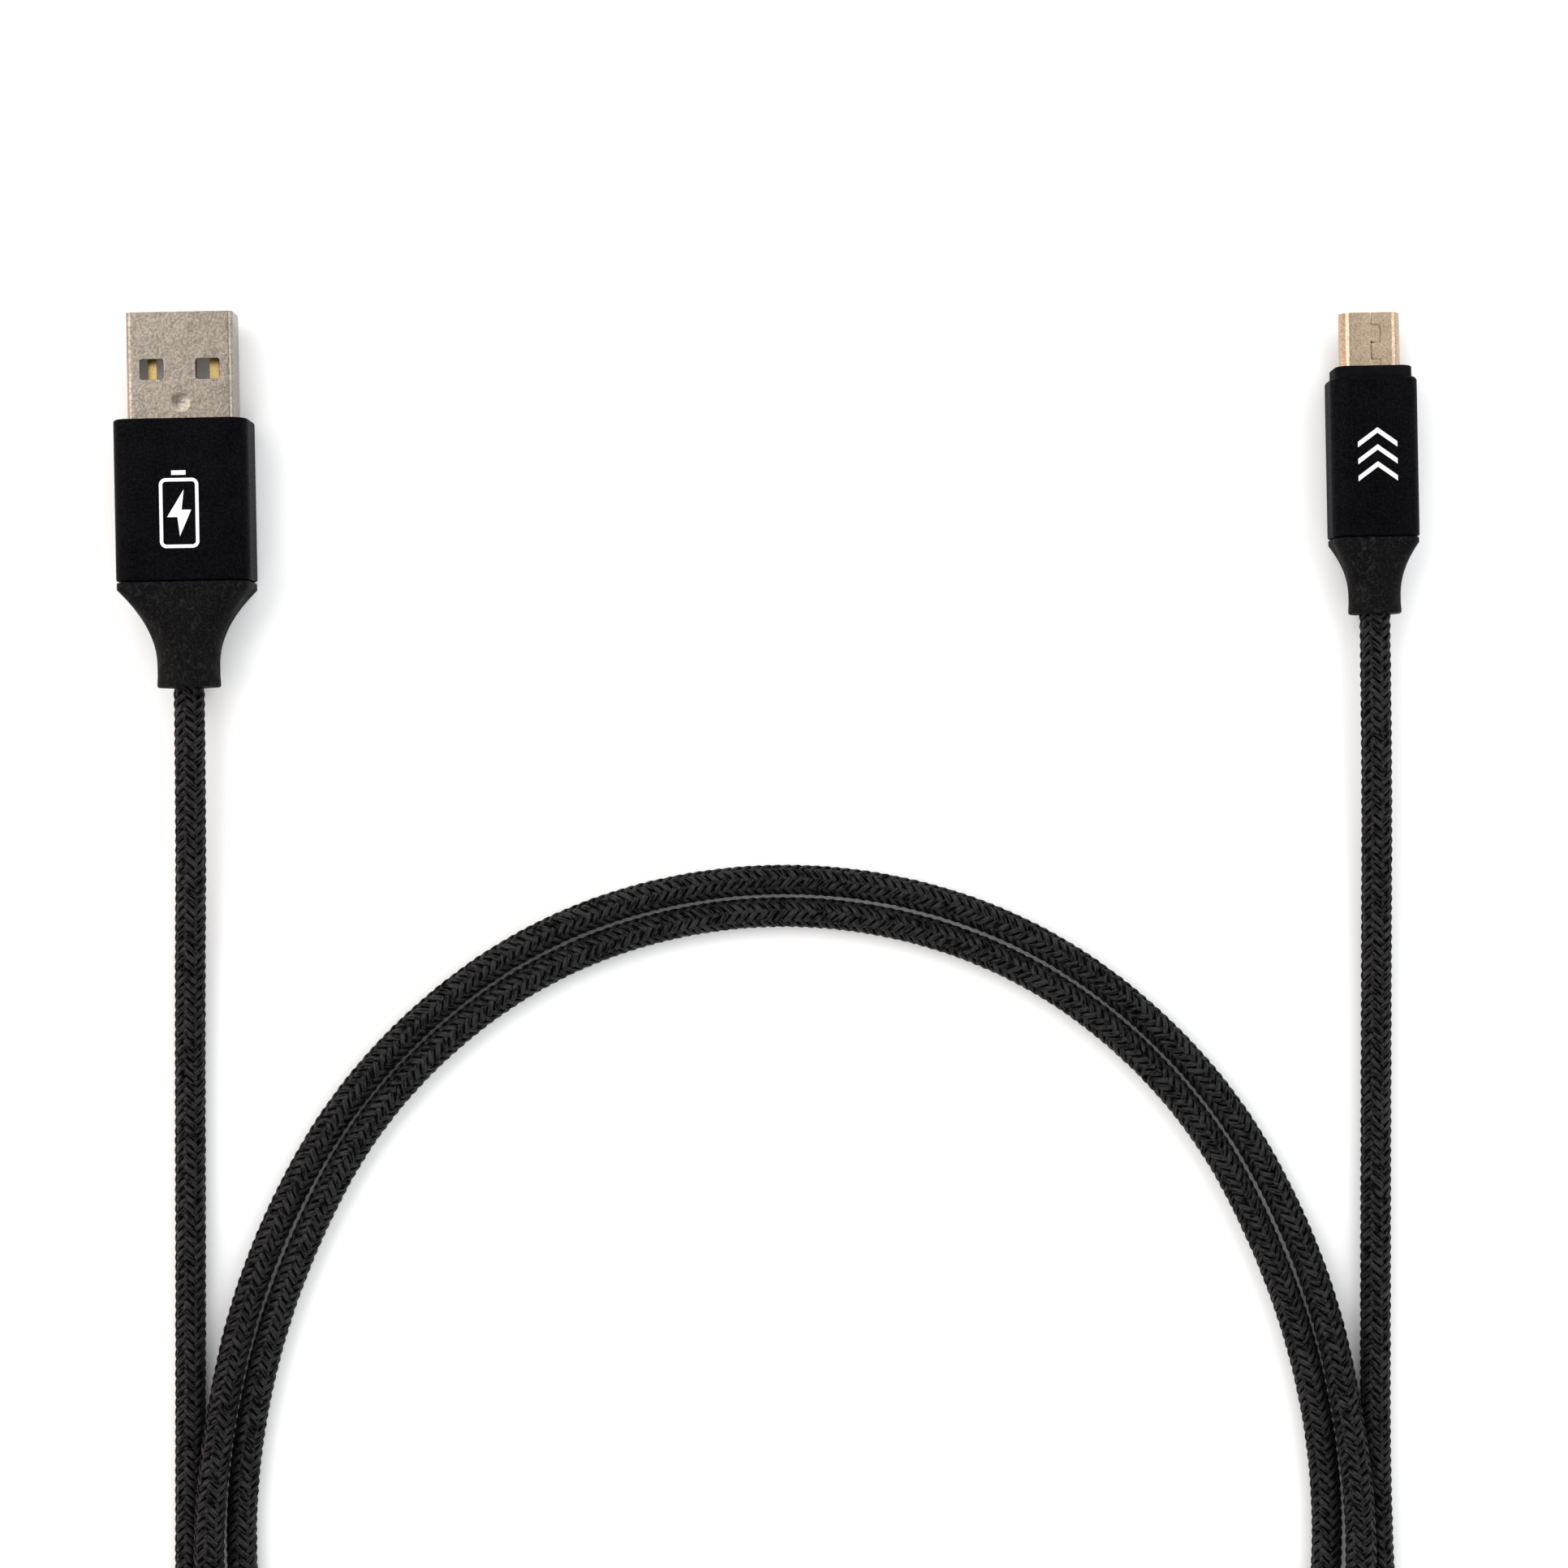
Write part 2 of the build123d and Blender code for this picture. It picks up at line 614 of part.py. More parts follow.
# ------------------------------------------------------------------ inner moulds
def inner_mould(section, width, height, corner, front, end, mouth, can_size, can_place, ring_end):
    """Plastic moulded round the shield can and the crimp; it fills the housing."""
    can_width, can_height = can_size
    can_back, can_length = can_place
    with BuildPart() as mould:
        with BuildSketch(section(front)):
            RectangleRounded(width, height, corner)
        extrude(amount=end - front)
        with BuildSketch(section(front)):
            add(mouth)
        extrude(amount=can_back - front, mode=Mode.SUBTRACT)
        with BuildSketch(section(can_back - fit)):
            Rectangle(can_width + 2 * fit, can_height + 2 * fit)
        extrude(amount=can_length + 2 * fit, mode=Mode.SUBTRACT)
        with BuildSketch(section(can_back + can_length)):
            Circle(ring_diameter / 2 + fit)
        extrude(amount=ring_end - can_back - can_length, mode=Mode.SUBTRACT)
        with BuildSketch(section(ring_end)):
            Circle(jacket_diameter / 2)
        extrude(amount=end - ring_end, mode=Mode.SUBTRACT)
    return mould


host_cavity_width = host_housing_width - 2 * host_housing_wall
host_cavity_height = host_housing_height - 2 * host_housing_wall
host_cavity_corner = host_housing_corner - host_housing_wall
host_mould = inner_mould(
    host_section, host_cavity_width - 2 * fit, host_cavity_height - 2 * fit, host_cavity_corner,
    host_housing_back + host_housing_wall, host_mould_end, host_shell_face(fit),
    (host_can_width + 2 * can_wall, host_can_height + 2 * can_wall), (host_can_back, host_can_length),
    host_crimp_end,
)
save(host_mould.part, "host_inner_mould")

device_cavity_width = device_housing_width - 2 * device_housing_wall
device_cavity_height = device_housing_height - 2 * device_housing_wall
device_cavity_corner = device_housing_corner - device_housing_wall
device_mould = inner_mould(
    device_section, device_cavity_width - 2 * fit, device_cavity_height - 2 * fit, device_cavity_corner,
    device_housing_back, device_mould_end, device_shell_face(fit),
    (device_can_width, device_can_height), (device_can_back, device_can_length), device_crimp_end,
)
device_collar_width = device_housing_width - 2 * device_collar_inset
device_collar_height = device_housing_height - 2 * device_collar_inset
# the collar is the mould's front flange, seen ahead of the housing
with BuildPart() as device_inner_mould:
    add(device_mould.part)
    with BuildSketch(device_section(device_shell_exposed)):
        RectangleRounded(device_collar_width, device_collar_height, device_collar_corner)
        add(device_shell_face(fit), mode=Mode.SUBTRACT)
    extrude(amount=device_collar_length)
    collar_front = device_inner_mould.faces().sort_by(Axis.Y)[-1]
    fillet(collar_front.outer_wire().edges(), device_collar_edge)
save(device_inner_mould.part, "device_inner_mould")


# ------------------------------------------------------------------ housings
def housing(section, width, height, corner, wall, edge, back, length):
    """A drawn metal sleeve, open at both ends, with softened end rims."""
    with BuildPart() as sleeve:
        with BuildSketch(section(back)):
            RectangleRounded(width, height, corner)
        extrude(amount=length)
        fillet(sleeve.faces().filter_by(Axis.Y).edges(), edge)
        with BuildSketch(section(back)):
            RectangleRounded(width - 2 * wall, height - 2 * wall, corner - wall)
        extrude(amount=length, mode=Mode.SUBTRACT)
    return sleeve


host_sleeve = housing(
    host_section, host_housing_width, host_housing_height, host_housing_corner, host_housing_wall,
    host_housing_edge, host_housing_back, host_housing_length,
)
# the host housing's front is closed round the shell
with BuildPart() as host_housing:
    add(host_sleeve.part)
    with BuildSketch(host_section(host_housing_back)):
        RectangleRounded(host_cavity_width, host_cavity_height, host_cavity_corner)
        add(host_shell_face(fit), mode=Mode.SUBTRACT)
    extrude(amount=host_housing_wall)
save(host_housing.part, "host_housing")

device_housing = housing(
    device_section, device_housing_width, device_housing_height, device_housing_corner,
    device_housing_wall, device_housing_edge, device_housing_back, device_housing_length,
)
save(device_housing.part, "device_housing")


# ------------------------------------------------------------------ strain reliefs
def strain_relief(section, cavity, rim, rim_length, neck, flare, spigot_back, housing_end, gap, length):
    """A soft sleeve: a spigot in the housing, a rim, and a concave flare down to a round neck."""
    cavity_width, cavity_height, cavity_corner = cavity
    rim_width, rim_height = rim
    start = housing_end + gap
    rim_corner = cavity_corner + relief_round
    with BuildPart() as sleeve:
        with BuildSketch(section(spigot_back)):
            RectangleRounded(cavity_width - 2 * fit, cavity_height - 2 * fit, cavity_corner)
        extrude(amount=start - spigot_back)
        with BuildSketch(section(start)):
            RectangleRounded(rim_width, rim_height, rim_corner)
        extrude(amount=rim_length)
        for share, along in flare:
            # each section of the flare keeps `share` of the step from the neck to the rim
            width = neck + share * (rim_width - neck)
            height = neck + share * (rim_height - neck)
            neck_corner = nearly_round * min(neck, height)
            corner = neck_corner + share * (rim_corner - neck_corner)
            with BuildSketch(section(start + rim_length + along)):
                RectangleRounded(width, height, corner)
        loft()
        with BuildSketch(section(start + rim_length + flare[-1][1])):
            Circle(neck / 2)
        extrude(amount=length - gap - rim_length - flare[-1][1])
        with BuildSketch(section(spigot_back)):
            Circle(cord_diameter / 2 + cord_clearance)
        extrude(amount=length + housing_end - spigot_back, mode=Mode.SUBTRACT)
    return sleeve.part


host_strain_relief = strain_relief(
    host_section, (host_cavity_width, host_cavity_height, host_cavity_corner),
    (host_housing_width - 2 * host_relief_inset, host_housing_height - 2 * host_relief_inset),
    host_relief_rim_length, host_relief_neck, host_flare, host_mould_end, host_housing_end,
    host_relief_gap, host_relief_length,
)
save(host_strain_relief, "host_strain_relief")
device_strain_relief = strain_relief(
    device_section, (device_cavity_width, device_cavity_height, device_cavity_corner),
    (device_housing_width - 2 * device_relief_inset, device_housing_height - 2 * device_relief_inset),
    device_relief_rim_length, device_relief_neck, device_flare, device_mould_end,
    device_housing_end, device_relief_gap, device_relief_length,
)
save(device_strain_relief, "device_strain_relief")

# ------------------------------------------------------------------ cord
# The route runs down from the host plug, round a loose coil of two and a half turns that lies on
# the surface, and up to the device plug. Where turns cross or lean on each other the cord rises.
lying = cord_diameter / 2  # height of the cord's middle where it lies on the surface
host_start_y = host_tip_y - host_mould_end
device_start_y = device_tip_y - device_mould_end
route = [
    # host plug's leg
    (host_x, host_start_y, host_axis_z), (host_x, -32, host_axis_z), (-66.7, -58, lying),
    (-67.2, -89, lying), (-67.8, -118, lying),
    # first lower pass, the outermost
    (-68.2, -141, lying), (-58.5, -160, lying), (-37, -171, lying), (-8, -173.5, lying),
    (19, -168.5, lying), (42, -157.5, lying), (58.5, -144.5, lying),
    # outer arch, leaning on both legs
    (64.4, -129, 4.9), (64.5, -111.3, 4.6), (60.6, -88.5, lying), (48.7, -65.9, lying),
    (27.8, -48.9, lying), (1.1, -42.6, lying), (-25.8, -47.9, lying), (-47.3, -64.1, lying),
    (-60.1, -86.2, lying), (-64.9, -108.5, 4.2), (-65.4, -127, 4.7),
    # second lower pass
    (-62.5, -144, lying), (-50, -158, lying), (-27, -166, lying), (-2, -167, lying),
    (22, -161, lying), (44, -151, lying), (60.3, -134, lying),
    # inner arch
    (61.75, -112, lying), (57.1, -90.4, lying), (46.2, -68.7, lying), (26.5, -52.5, lying),
    (1, -46.3, lying), (-24.6, -51.5, lying), (-45, -67, lying), (-56.7, -88.2, lying),
    (-62.2, -110.1, lying),
    # third lower pass, over the other two
    (-61.4, -131, lying), (-51, -147.5, lying), (-29, -157, lying), (-3, -158.5, 5.95),
    (38, -166, 5.95), (59, -161, lying), (67.8, -142, lying),
    # device plug's leg
    (66.7, -117, lying), (67.3, -88, lying), (68, -56, lying), (device_x, -29, device_axis_z),
    (device_x, device_start_y, device_axis_z),
]
corners = [Vector(*point) for point in route]
runs = [after - before for before, after in zip(corners, corners[1:])]
radii = []
for before, after in zip(runs, runs[1:]):
    turn = math.radians(before.get_angle(after))
    radii.append(bend_share * min(before.length, after.length) / math.tan(turn / 2))
with BuildPart() as cord:
    with BuildLine() as cord_path:
        FilletPolyline(*corners, radius=radii)
    with BuildSketch(host_section(host_mould_end)):
        Circle(cord_diameter / 2)
    sweep()
save(cord.part, "cord")

print("cord radii:", [round(radius, 1) for radius in radii])
cord_length = cord_path.wires()[0].length
section_area = math.pi * cord_diameter**2 / 4
print(f"cord length {cord_length:.1f} mm, volume {cord.part.volume:.1f} mm3, "
      f"section times length {section_area * cord_length:.1f} mm3")
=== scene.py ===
"""Charging cable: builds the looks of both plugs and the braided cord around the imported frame."""
import json
import math

import bmesh
import bpy
import numpy as np
from bpy.props import FloatProperty, FloatVectorProperty, IntProperty, PointerProperty
from bpy.types import Operator, Panel, PropertyGroup
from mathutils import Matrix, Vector


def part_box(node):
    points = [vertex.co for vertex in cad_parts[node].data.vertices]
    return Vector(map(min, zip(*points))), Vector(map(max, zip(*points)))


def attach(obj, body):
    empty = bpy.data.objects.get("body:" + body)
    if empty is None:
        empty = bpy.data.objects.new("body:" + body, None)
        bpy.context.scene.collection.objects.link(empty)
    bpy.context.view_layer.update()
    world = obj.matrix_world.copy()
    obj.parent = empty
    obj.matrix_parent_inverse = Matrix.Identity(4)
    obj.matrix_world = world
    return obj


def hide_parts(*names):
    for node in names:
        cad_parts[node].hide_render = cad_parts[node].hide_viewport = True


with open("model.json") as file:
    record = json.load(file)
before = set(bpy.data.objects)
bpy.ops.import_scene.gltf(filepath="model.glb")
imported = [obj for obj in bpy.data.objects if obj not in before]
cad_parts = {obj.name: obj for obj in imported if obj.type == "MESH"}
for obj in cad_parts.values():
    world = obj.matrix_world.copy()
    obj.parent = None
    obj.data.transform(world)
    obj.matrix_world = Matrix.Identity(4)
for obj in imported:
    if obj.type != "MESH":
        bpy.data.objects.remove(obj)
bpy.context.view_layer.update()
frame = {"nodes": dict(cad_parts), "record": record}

bl_info = {
    "name": "Charging Cable",
    "version": (1, 0, 0),
    "blender": (4, 5, 0),
    "location": "3D View > Sidebar > Charging cable",
    "description": "Finishes the two plugs of a charging cable and weaves its braided cord",
    "category": "Add Mesh",
}

MM = 0.001
HOUSING_LOW, HOUSING_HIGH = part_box("host_housing")
SMALL_LOW, SMALL_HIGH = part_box("device_housing")
RELIEF_LOW, RELIEF_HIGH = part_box("host_strain_relief")
SMALL_RELIEF_LOW, SMALL_RELIEF_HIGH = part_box("device_strain_relief")
SHELL_LOW, SHELL_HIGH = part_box("host_shell")
SMALL_SHELL_LOW, SMALL_SHELL_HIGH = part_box("device_shell")

# host shell
HOST_SHELL_WALL, HOST_SHELL_CORNER, HOST_SHELL_ROUND = 0.3 * MM, 0.6 * MM, 0.025 * MM
WINDOW_CORNER, WINDOW_ROUND = 0.3 * MM, 0.1 * MM
DIMPLE_RADIUS, DIMPLE_DEPTH = 1.15 * MM, 0.2 * MM
SLIT_LENGTH, SLIT_WIDTH, SLIT_CORNER = 1.0 * MM, 0.18 * MM, 0.08 * MM
HOST_SEAM_STEP, HOST_SEAM_WIDTH, HOST_SEAM_DEPTH = 1.1 * MM, 0.06 * MM, 0.08 * MM
# device shell
DEVICE_SHELL_WALL, DEVICE_SHELL_CORNER, DEVICE_SHELL_ROUND = 0.25 * MM, 0.35 * MM, 0.035 * MM
DEVICE_SHELL_NARROW_WIDTH = 5.3 * MM
LATCH_OFFSET, LATCH_SLOT_WIDTH, LATCH_SLOT_CORNER = 2.15 * MM, 0.8 * MM, 0.12 * MM
LATCH_SLOT_FRONT, LATCH_SLOT_BACK, LATCH_SLOT_DEPTH = 2.35 * MM, 3.75 * MM, 0.35 * MM
DEVICE_SEAM_STEP, DEVICE_SEAM_DEPTH = 1.0 * MM, 0.22 * MM
CUT_MARGIN = 0.5 * MM  # how far a cutter reaches past the shell
# housings and their marks
SHELL_GAP = 0.05 * MM  # between a shell and the mouth of its housing
REAR_ROUND, RIM_BREAK = 0.25 * MM, 0.06 * MM
MARK_SUNK, MARK_PROUD = 0.04 * MM, 0.01 * MM
# strain reliefs
RIM_EDGE, LIP_ROUND, LIP_SWELLING = 0.14 * MM, 0.25 * MM, 0.06 * MM
RIM_WALL = 0.5 * MM  # between the cavity's corner radius and the rim's
NECK_END = 1.2 * MM  # from the rear edge to where the swelling starts
NECK_CORNER_SHARE = 0.98  # of a round neck's radius, so that its outline stays a rounded square
CORD_CLEARANCE = 0.1 * MM

# axes of the two plugs: x and z of the middle line
HOST_X, HOST_Z = (HOUSING_LOW.x + HOUSING_HIGH.x) / 2, (HOUSING_LOW.z + HOUSING_HIGH.z) / 2
DEVICE_X, DEVICE_Z = (SMALL_LOW.x + SMALL_HIGH.x) / 2, (SMALL_LOW.z + SMALL_HIGH.z) / 2
HOST_TIP, DEVICE_TIP = SHELL_HIGH.y, SMALL_SHELL_HIGH.y

# The cord's route, in metres: down from the host plug, round two and a half loose turns, up to the
# device plug. Where turns cross or lean on each other it rises.
LYING = 0.00175
HOST_START_Y = -0.00835
DEVICE_START_Y = -0.00595
ROUTE = [
    # host plug's leg
    (HOST_X, HOST_START_Y, HOST_Z), (HOST_X, -0.032, HOST_Z), (-0.0667, -0.058, LYING),
    (-0.0672, -0.089, LYING), (-0.0678, -0.118, LYING),
    # first lower pass, the outermost
    (-0.0682, -0.141, LYING), (-0.0585, -0.160, LYING), (-0.037, -0.171, LYING),
    (-0.008, -0.1735, LYING), (0.019, -0.1685, LYING), (0.042, -0.1575, LYING),
    (0.0585, -0.1445, LYING),
    # outer arch, leaning on both legs
    (0.0644, -0.129, 0.0049), (0.0645, -0.1113, 0.0046), (0.0606, -0.0885, LYING),
    (0.0487, -0.0659, LYING), (0.0278, -0.0489, LYING), (0.0011, -0.0426, LYING),
    (-0.0258, -0.0479, LYING), (-0.0473, -0.0641, LYING), (-0.0601, -0.0862, LYING),
    (-0.0649, -0.1085, 0.0042), (-0.0654, -0.127, 0.0047),
    # second lower pass
    (-0.0625, -0.144, LYING), (-0.050, -0.158, LYING), (-0.027, -0.166, LYING),
    (-0.002, -0.167, LYING), (0.022, -0.161, LYING), (0.044, -0.151, LYING),
    (0.0603, -0.134, LYING),
    # inner arch
    (0.06175, -0.112, LYING), (0.0571, -0.0904, LYING), (0.0462, -0.0687, LYING),
    (0.0265, -0.0525, LYING), (0.001, -0.0463, LYING), (-0.0246, -0.0515, LYING),
    (-0.045, -0.067, LYING), (-0.0567, -0.0882, LYING), (-0.0622, -0.1101, LYING),
    # third lower pass, over the other two
    (-0.0617, -0.131, LYING), (-0.051, -0.1475, LYING), (-0.029, -0.157, LYING),
    (-0.003, -0.1585, 0.00595), (0.038, -0.166, 0.00595), (0.059, -0.161, LYING),
    (0.0678, -0.142, LYING),
    # device plug's leg
    (0.0667, -0.117, LYING), (0.0673, -0.088, LYING), (0.068, -0.056, LYING),
    (DEVICE_X, -0.029, DEVICE_Z), (DEVICE_X, DEVICE_START_Y, DEVICE_Z),
]


# ---------------------------------------------------------------- settings a user would change
class CableCordSettings(PropertyGroup):
    """Sizes and colour of the braided cord."""

    diameter: FloatProperty(
        name="Diameter", description="Over the braid", default=0.0035, min=0.002, max=0.008,
        unit="LENGTH", precision=5,
    )
    lead: FloatProperty(
        name="Lead", description="Length in which a yarn goes once round the cord", default=0.0088,
        min=0.004, max=0.03, unit="LENGTH", precision=5,
    )
    carriers: IntProperty(
        name="Carriers", description="Yarns in each direction", default=8, min=4, max=16,
    )
    yarn_thickness: FloatProperty(
        name="Yarn thickness", description="Of a flat bundle of filaments", default=0.0002,
        min=0.00005, max=0.001, unit="LENGTH", precision=5,
    )
    colour: FloatVectorProperty(
        name="Yarn colour", description="Dyed nylon", subtype="COLOR", size=3, min=0, max=1,
        default=(0.0029, 0.0029, 0.0032),
    )


class CableHostSettings(PropertyGroup):
    """Sizes of the host plug that only its looks need."""

    window_width: FloatProperty(
        name="Window width", description="Across the shell", default=0.0027, unit="LENGTH",
        precision=5,
    )
    window_length: FloatProperty(
        name="Window length", description="Along the shell", default=0.0023, unit="LENGTH",
        precision=5,
    )
    window_offset: FloatProperty(
        name="Window offset", description="From the axis to a window's middle", default=0.00313,
        unit="LENGTH", precision=5,
    )
    window_back: FloatProperty(
        name="Window setback", description="From the tip to a window's middle", default=0.00645,
        unit="LENGTH", precision=5,
    )
    dimple_back: FloatProperty(
        name="Dimple setback", description="From the tip to the dimple's middle", default=0.0102,
        unit="LENGTH", precision=5,
    )
    shell_colour: FloatVectorProperty(
        name="Shell colour", description="Nickel plate", subtype="COLOR", size=3, min=0, max=1,
        default=(0.285, 0.245, 0.205),
    )
    housing_colour: FloatVectorProperty(
        name="Housing colour", description="Black anodised, fine blasted", subtype="COLOR", size=3,
        min=0, max=1, default=(0.0015, 0.0015, 0.0021),
    )


class CableDeviceSettings(PropertyGroup):
    """Seam of the device shell, and colours of the device plug, strain reliefs and marks."""

    seam_width: FloatProperty(
        name="Seam width", description="Of the interlocked seam", default=0.00017, unit="LENGTH",
        precision=6,
    )
    shell_colour: FloatVectorProperty(
        name="Shell colour", description="Warm nickel plate", subtype="COLOR", size=3, min=0, max=1,
        default=(0.47, 0.36, 0.255),
    )
    relief_colour: FloatVectorProperty(
        name="Strain relief colour", description="Soft black rubber", subtype="COLOR", size=3,
        min=0, max=1, default=(0.0034, 0.0033, 0.0035),
    )
    mark_colour: FloatVectorProperty(
        name="Mark colour", description="Bare metal under the anodised skin", subtype="COLOR",
        size=3, min=0, max=1, default=(0.80, 0.80, 0.81),
    )


class CableStageSettings(PropertyGroup):
    """Camera and floor."""

    height: FloatProperty(
        name="Camera height", description="Above the surface", default=0.35, unit="LENGTH",
    )
    lens: FloatProperty(
        name="Lens", description="Focal length on a 36 mm sensor", default=70.45, subtype="NONE",
    )
    centre_x: FloatProperty(
        name="Camera X", description="Point that the camera looks straight down on",
        default=0.0012, unit="LENGTH", precision=5,
    )
    centre_y: FloatProperty(
        name="Camera Y", description="Point that the camera looks straight down on",
        default=-0.0332, unit="LENGTH", precision=5,
    )
    roll: FloatProperty(
        name="Roll", description="Turn of the picture", default=math.radians(1.1), subtype="ANGLE",
    )
    floor_colour: FloatVectorProperty(
        name="Floor colour", description="Plain pale sheet", subtype="COLOR", size=3, min=0, max=1,
        default=(0.96, 0.96, 0.96),
    )


# ---------------------------------------------------------------- modelling helpers
def linked(name, data):
    """A new object around the data, linked to the scene."""
    piece = bpy.data.objects.new(name, data)
    bpy.context.scene.collection.objects.link(piece)
    return piece


def make_active(piece):
    """Leave only this piece selected."""
    bpy.ops.object.select_all(action="DESELECT")
    piece.select_set(True)
    bpy.context.view_layer.objects.active = piece


def pick(piece, kind, test):
    """In edit mode, select the vertices, edges or faces that pass the test."""
    bpy.ops.mesh.select_mode(type=kind)
    bpy.ops.mesh.select_all(action="DESELECT")
    mesh = bmesh.from_edit_mesh(piece.data)
    for part in {"VERT": mesh.verts, "EDGE": mesh.edges, "FACE": mesh.faces}[kind]:
        if test(part):
            part.select_set(True)
    mesh.select_flush_mode()
    bmesh.update_edit_mesh(piece.data)


def runs_along(axis):
    """A test for pick: whether an edge runs along one axis."""
    others = [i for i in range(3) if i != axis]
    return lambda edge: all(near(edge.verts[0].co[i], edge.verts[1].co[i]) for i in others)


def near(value, wanted, slack=2e-6):
    """Whether two coordinates are the same, to a few micrometres."""
    return abs(value - wanted) < slack


def settled(name):
    """The primitive just added, named, with its place and size moved into its mesh."""
    piece = bpy.context.object
    piece.name = name
    piece.data.name = name
    bpy.ops.object.transform_apply(location=True, rotation=True, scale=True)
    return piece


def block(name, low, high):
    """A cube primitive stretched to fill the box."""
    low, high = Vector(low), Vector(high)
    bpy.ops.object.select_all(action="DESELECT")
    bpy.ops.mesh.primitive_cube_add(size=1, location=(low + high) / 2, scale=high - low)
    return settled(name)


def round_edges(piece, test, radius, segments=4):
    """Bevel the edges that pass the test. The piece is in edit mode."""
    pick(piece, "EDGE", test)
    bpy.ops.mesh.bevel(offset=radius, offset_type="OFFSET", segments=segments, affect="EDGES")


def folded_sleeve(name, low, high, corner, wall):
    """A thin rounded sleeve along Y, open at both ends, made from a block."""
    piece = block(name, low, high)
    bpy.ops.object.mode_set(mode="EDIT")
    round_edges(piece, runs_along(1), corner, 6)
    open_ends(piece)
    thicken(piece, wall)
    return piece


def open_ends(piece):
    """From edit mode: delete the faces at both ends along Y, and leave edit mode."""
    pick(piece, "FACE", lambda face: abs(face.normal.y) > 0.99)
    bpy.ops.mesh.delete(type="FACE")
    bpy.ops.object.mode_set(mode="OBJECT")


def thicken(piece, wall):
    """Give an open sleeve its wall, inwards."""
    make_active(piece)
    modifier = piece.modifiers.new("wall", "SOLIDIFY")
    modifier.thickness = wall
    modifier.offset = -1
    modifier.use_even_offset = True
    bpy.ops.object.modifier_apply(modifier=modifier.name)


def tidy_up(sharp=35):
    """From edit mode: merge doubles, face outwards, smooth the shading, leave edit mode."""
    bpy.ops.mesh.select_mode(type="VERT")
    bpy.ops.mesh.select_all(action="SELECT")
    bpy.ops.mesh.remove_doubles(threshold=1e-7)
    bpy.ops.mesh.normals_make_consistent(inside=False)
    bpy.ops.object.mode_set(mode="OBJECT")
    bpy.ops.object.shade_smooth_by_angle(angle=math.radians(sharp))


def cut(piece, cutter):
    """Take the cutter's shape out of the piece."""
    make_active(piece)
    modifier = piece.modifiers.new("cut", "BOOLEAN")
    modifier.operation = "DIFFERENCE"
    modifier.solver = "EXACT"
    modifier.object = cutter
    bpy.ops.object.modifier_apply(modifier=modifier.name)
    bpy.data.objects.remove(cutter)


def soften(piece, width, segments=2, angle=40):
    """Round every edge sharper than the angle."""
    make_active(piece)
    modifier = piece.modifiers.new("soften", "BEVEL")
    modifier.width = width
    modifier.segments = segments
    modifier.limit_method = "ANGLE"
    modifier.angle_limit = math.radians(angle)
    modifier.use_clamp_overlap = True
    bpy.ops.object.modifier_apply(modifier=modifier.name)
    bpy.ops.object.shade_smooth_by_angle(angle=math.radians(35))
    even = piece.modifiers.new("even", "WEIGHTED_NORMAL")
    even.keep_sharp = True
    even.weight = 100
    bpy.ops.object.modifier_apply(modifier=even.name)


def rounded_cutter(low, high, radius, axis):
    """A block with the edges along one axis rounded, for punching a window."""
    cutter = block("cutter", low, high)
    bpy.ops.object.mode_set(mode="EDIT")
    round_edges(cutter, runs_along(axis), radius, 5)
    bpy.ops.object.mode_set(mode="OBJECT")
    return cutter


def seam_cutters(points, width, low_z, high_z):
    """Thin upright strips along a zigzag, for scoring an interlocked seam."""
    strips = []
    for (x0, y0), (x1, y1) in zip(points, points[1:]):
        low = (min(x0, x1) - width / 2, min(y0, y1) - width / 2, low_z)
        high = (max(x0, x1) + width / 2, max(y0, y1) + width / 2, high_z)
        strips.append(block("strip", low, high))
    return strips


def dress(piece, finish, slot, *nodes):
    """Give a piece its finish, fix it to the root and hide the parts that it stands for; the slot
    is not used.
    """
    assign(piece, finish)
    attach(piece, "root")
    if nodes:
        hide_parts(*nodes)


# ---------------------------------------------------------------- materials
def new_material(name, colour, roughness, metallic=0.0, **sockets):
    """A material with a Principled shader; further sockets are given by name."""
    material = bpy.data.materials.new(name)
    material.use_nodes = True
    shader = material.node_tree.nodes["Principled BSDF"]
    shader.inputs["Base Color"].default_value = (*colour, 1)
    shader.inputs["Roughness"].default_value = roughness
    shader.inputs["Metallic"].default_value = metallic
    for socket, value in sockets.items():
        shader.inputs[socket.replace("_", " ")].default_value = value
    return material


def coordinates(material, use_uv=False):
    """The output that a pattern reads: Object coordinates, or the piece's own UV map."""
    source = material.node_tree.nodes.new("ShaderNodeTexCoord")
    return source.outputs["UV" if use_uv else "Object"]


def noise(
    material, scale, detail=3.0, roughness=0.5, stretch=(1, 1, 1), use_uv=False, swirl=0.0,
):
    """A noise texture's value, its pattern stretched along the axes."""
    nodes, links = material.node_tree.nodes, material.node_tree.links
    mapping = nodes.new("ShaderNodeMapping")
    mapping.inputs["Scale"].default_value = stretch
    links.new(coordinates(material, use_uv), mapping.inputs["Vector"])
    texture = nodes.new("ShaderNodeTexNoise")
    texture.inputs["Scale"].default_value = scale
    texture.inputs["Detail"].default_value = detail
    texture.inputs["Roughness"].default_value = roughness
    texture.inputs["Distortion"].default_value = swirl
    links.new(mapping.outputs["Vector"], texture.inputs["Vector"])
    return texture.outputs["Fac"]


def remap(material, value, low, high, to_low, to_high):
    """Spread a value's range from low..high over to_low..to_high."""
    node = material.node_tree.nodes.new("ShaderNodeMapRange")
    node.inputs["From Min"].default_value = low
    node.inputs["From Max"].default_value = high
    node.inputs["To Min"].default_value = to_low
    node.inputs["To Max"].default_value = to_high
    material.node_tree.links.new(value, node.inputs["Value"])
    return node.outputs["Result"]


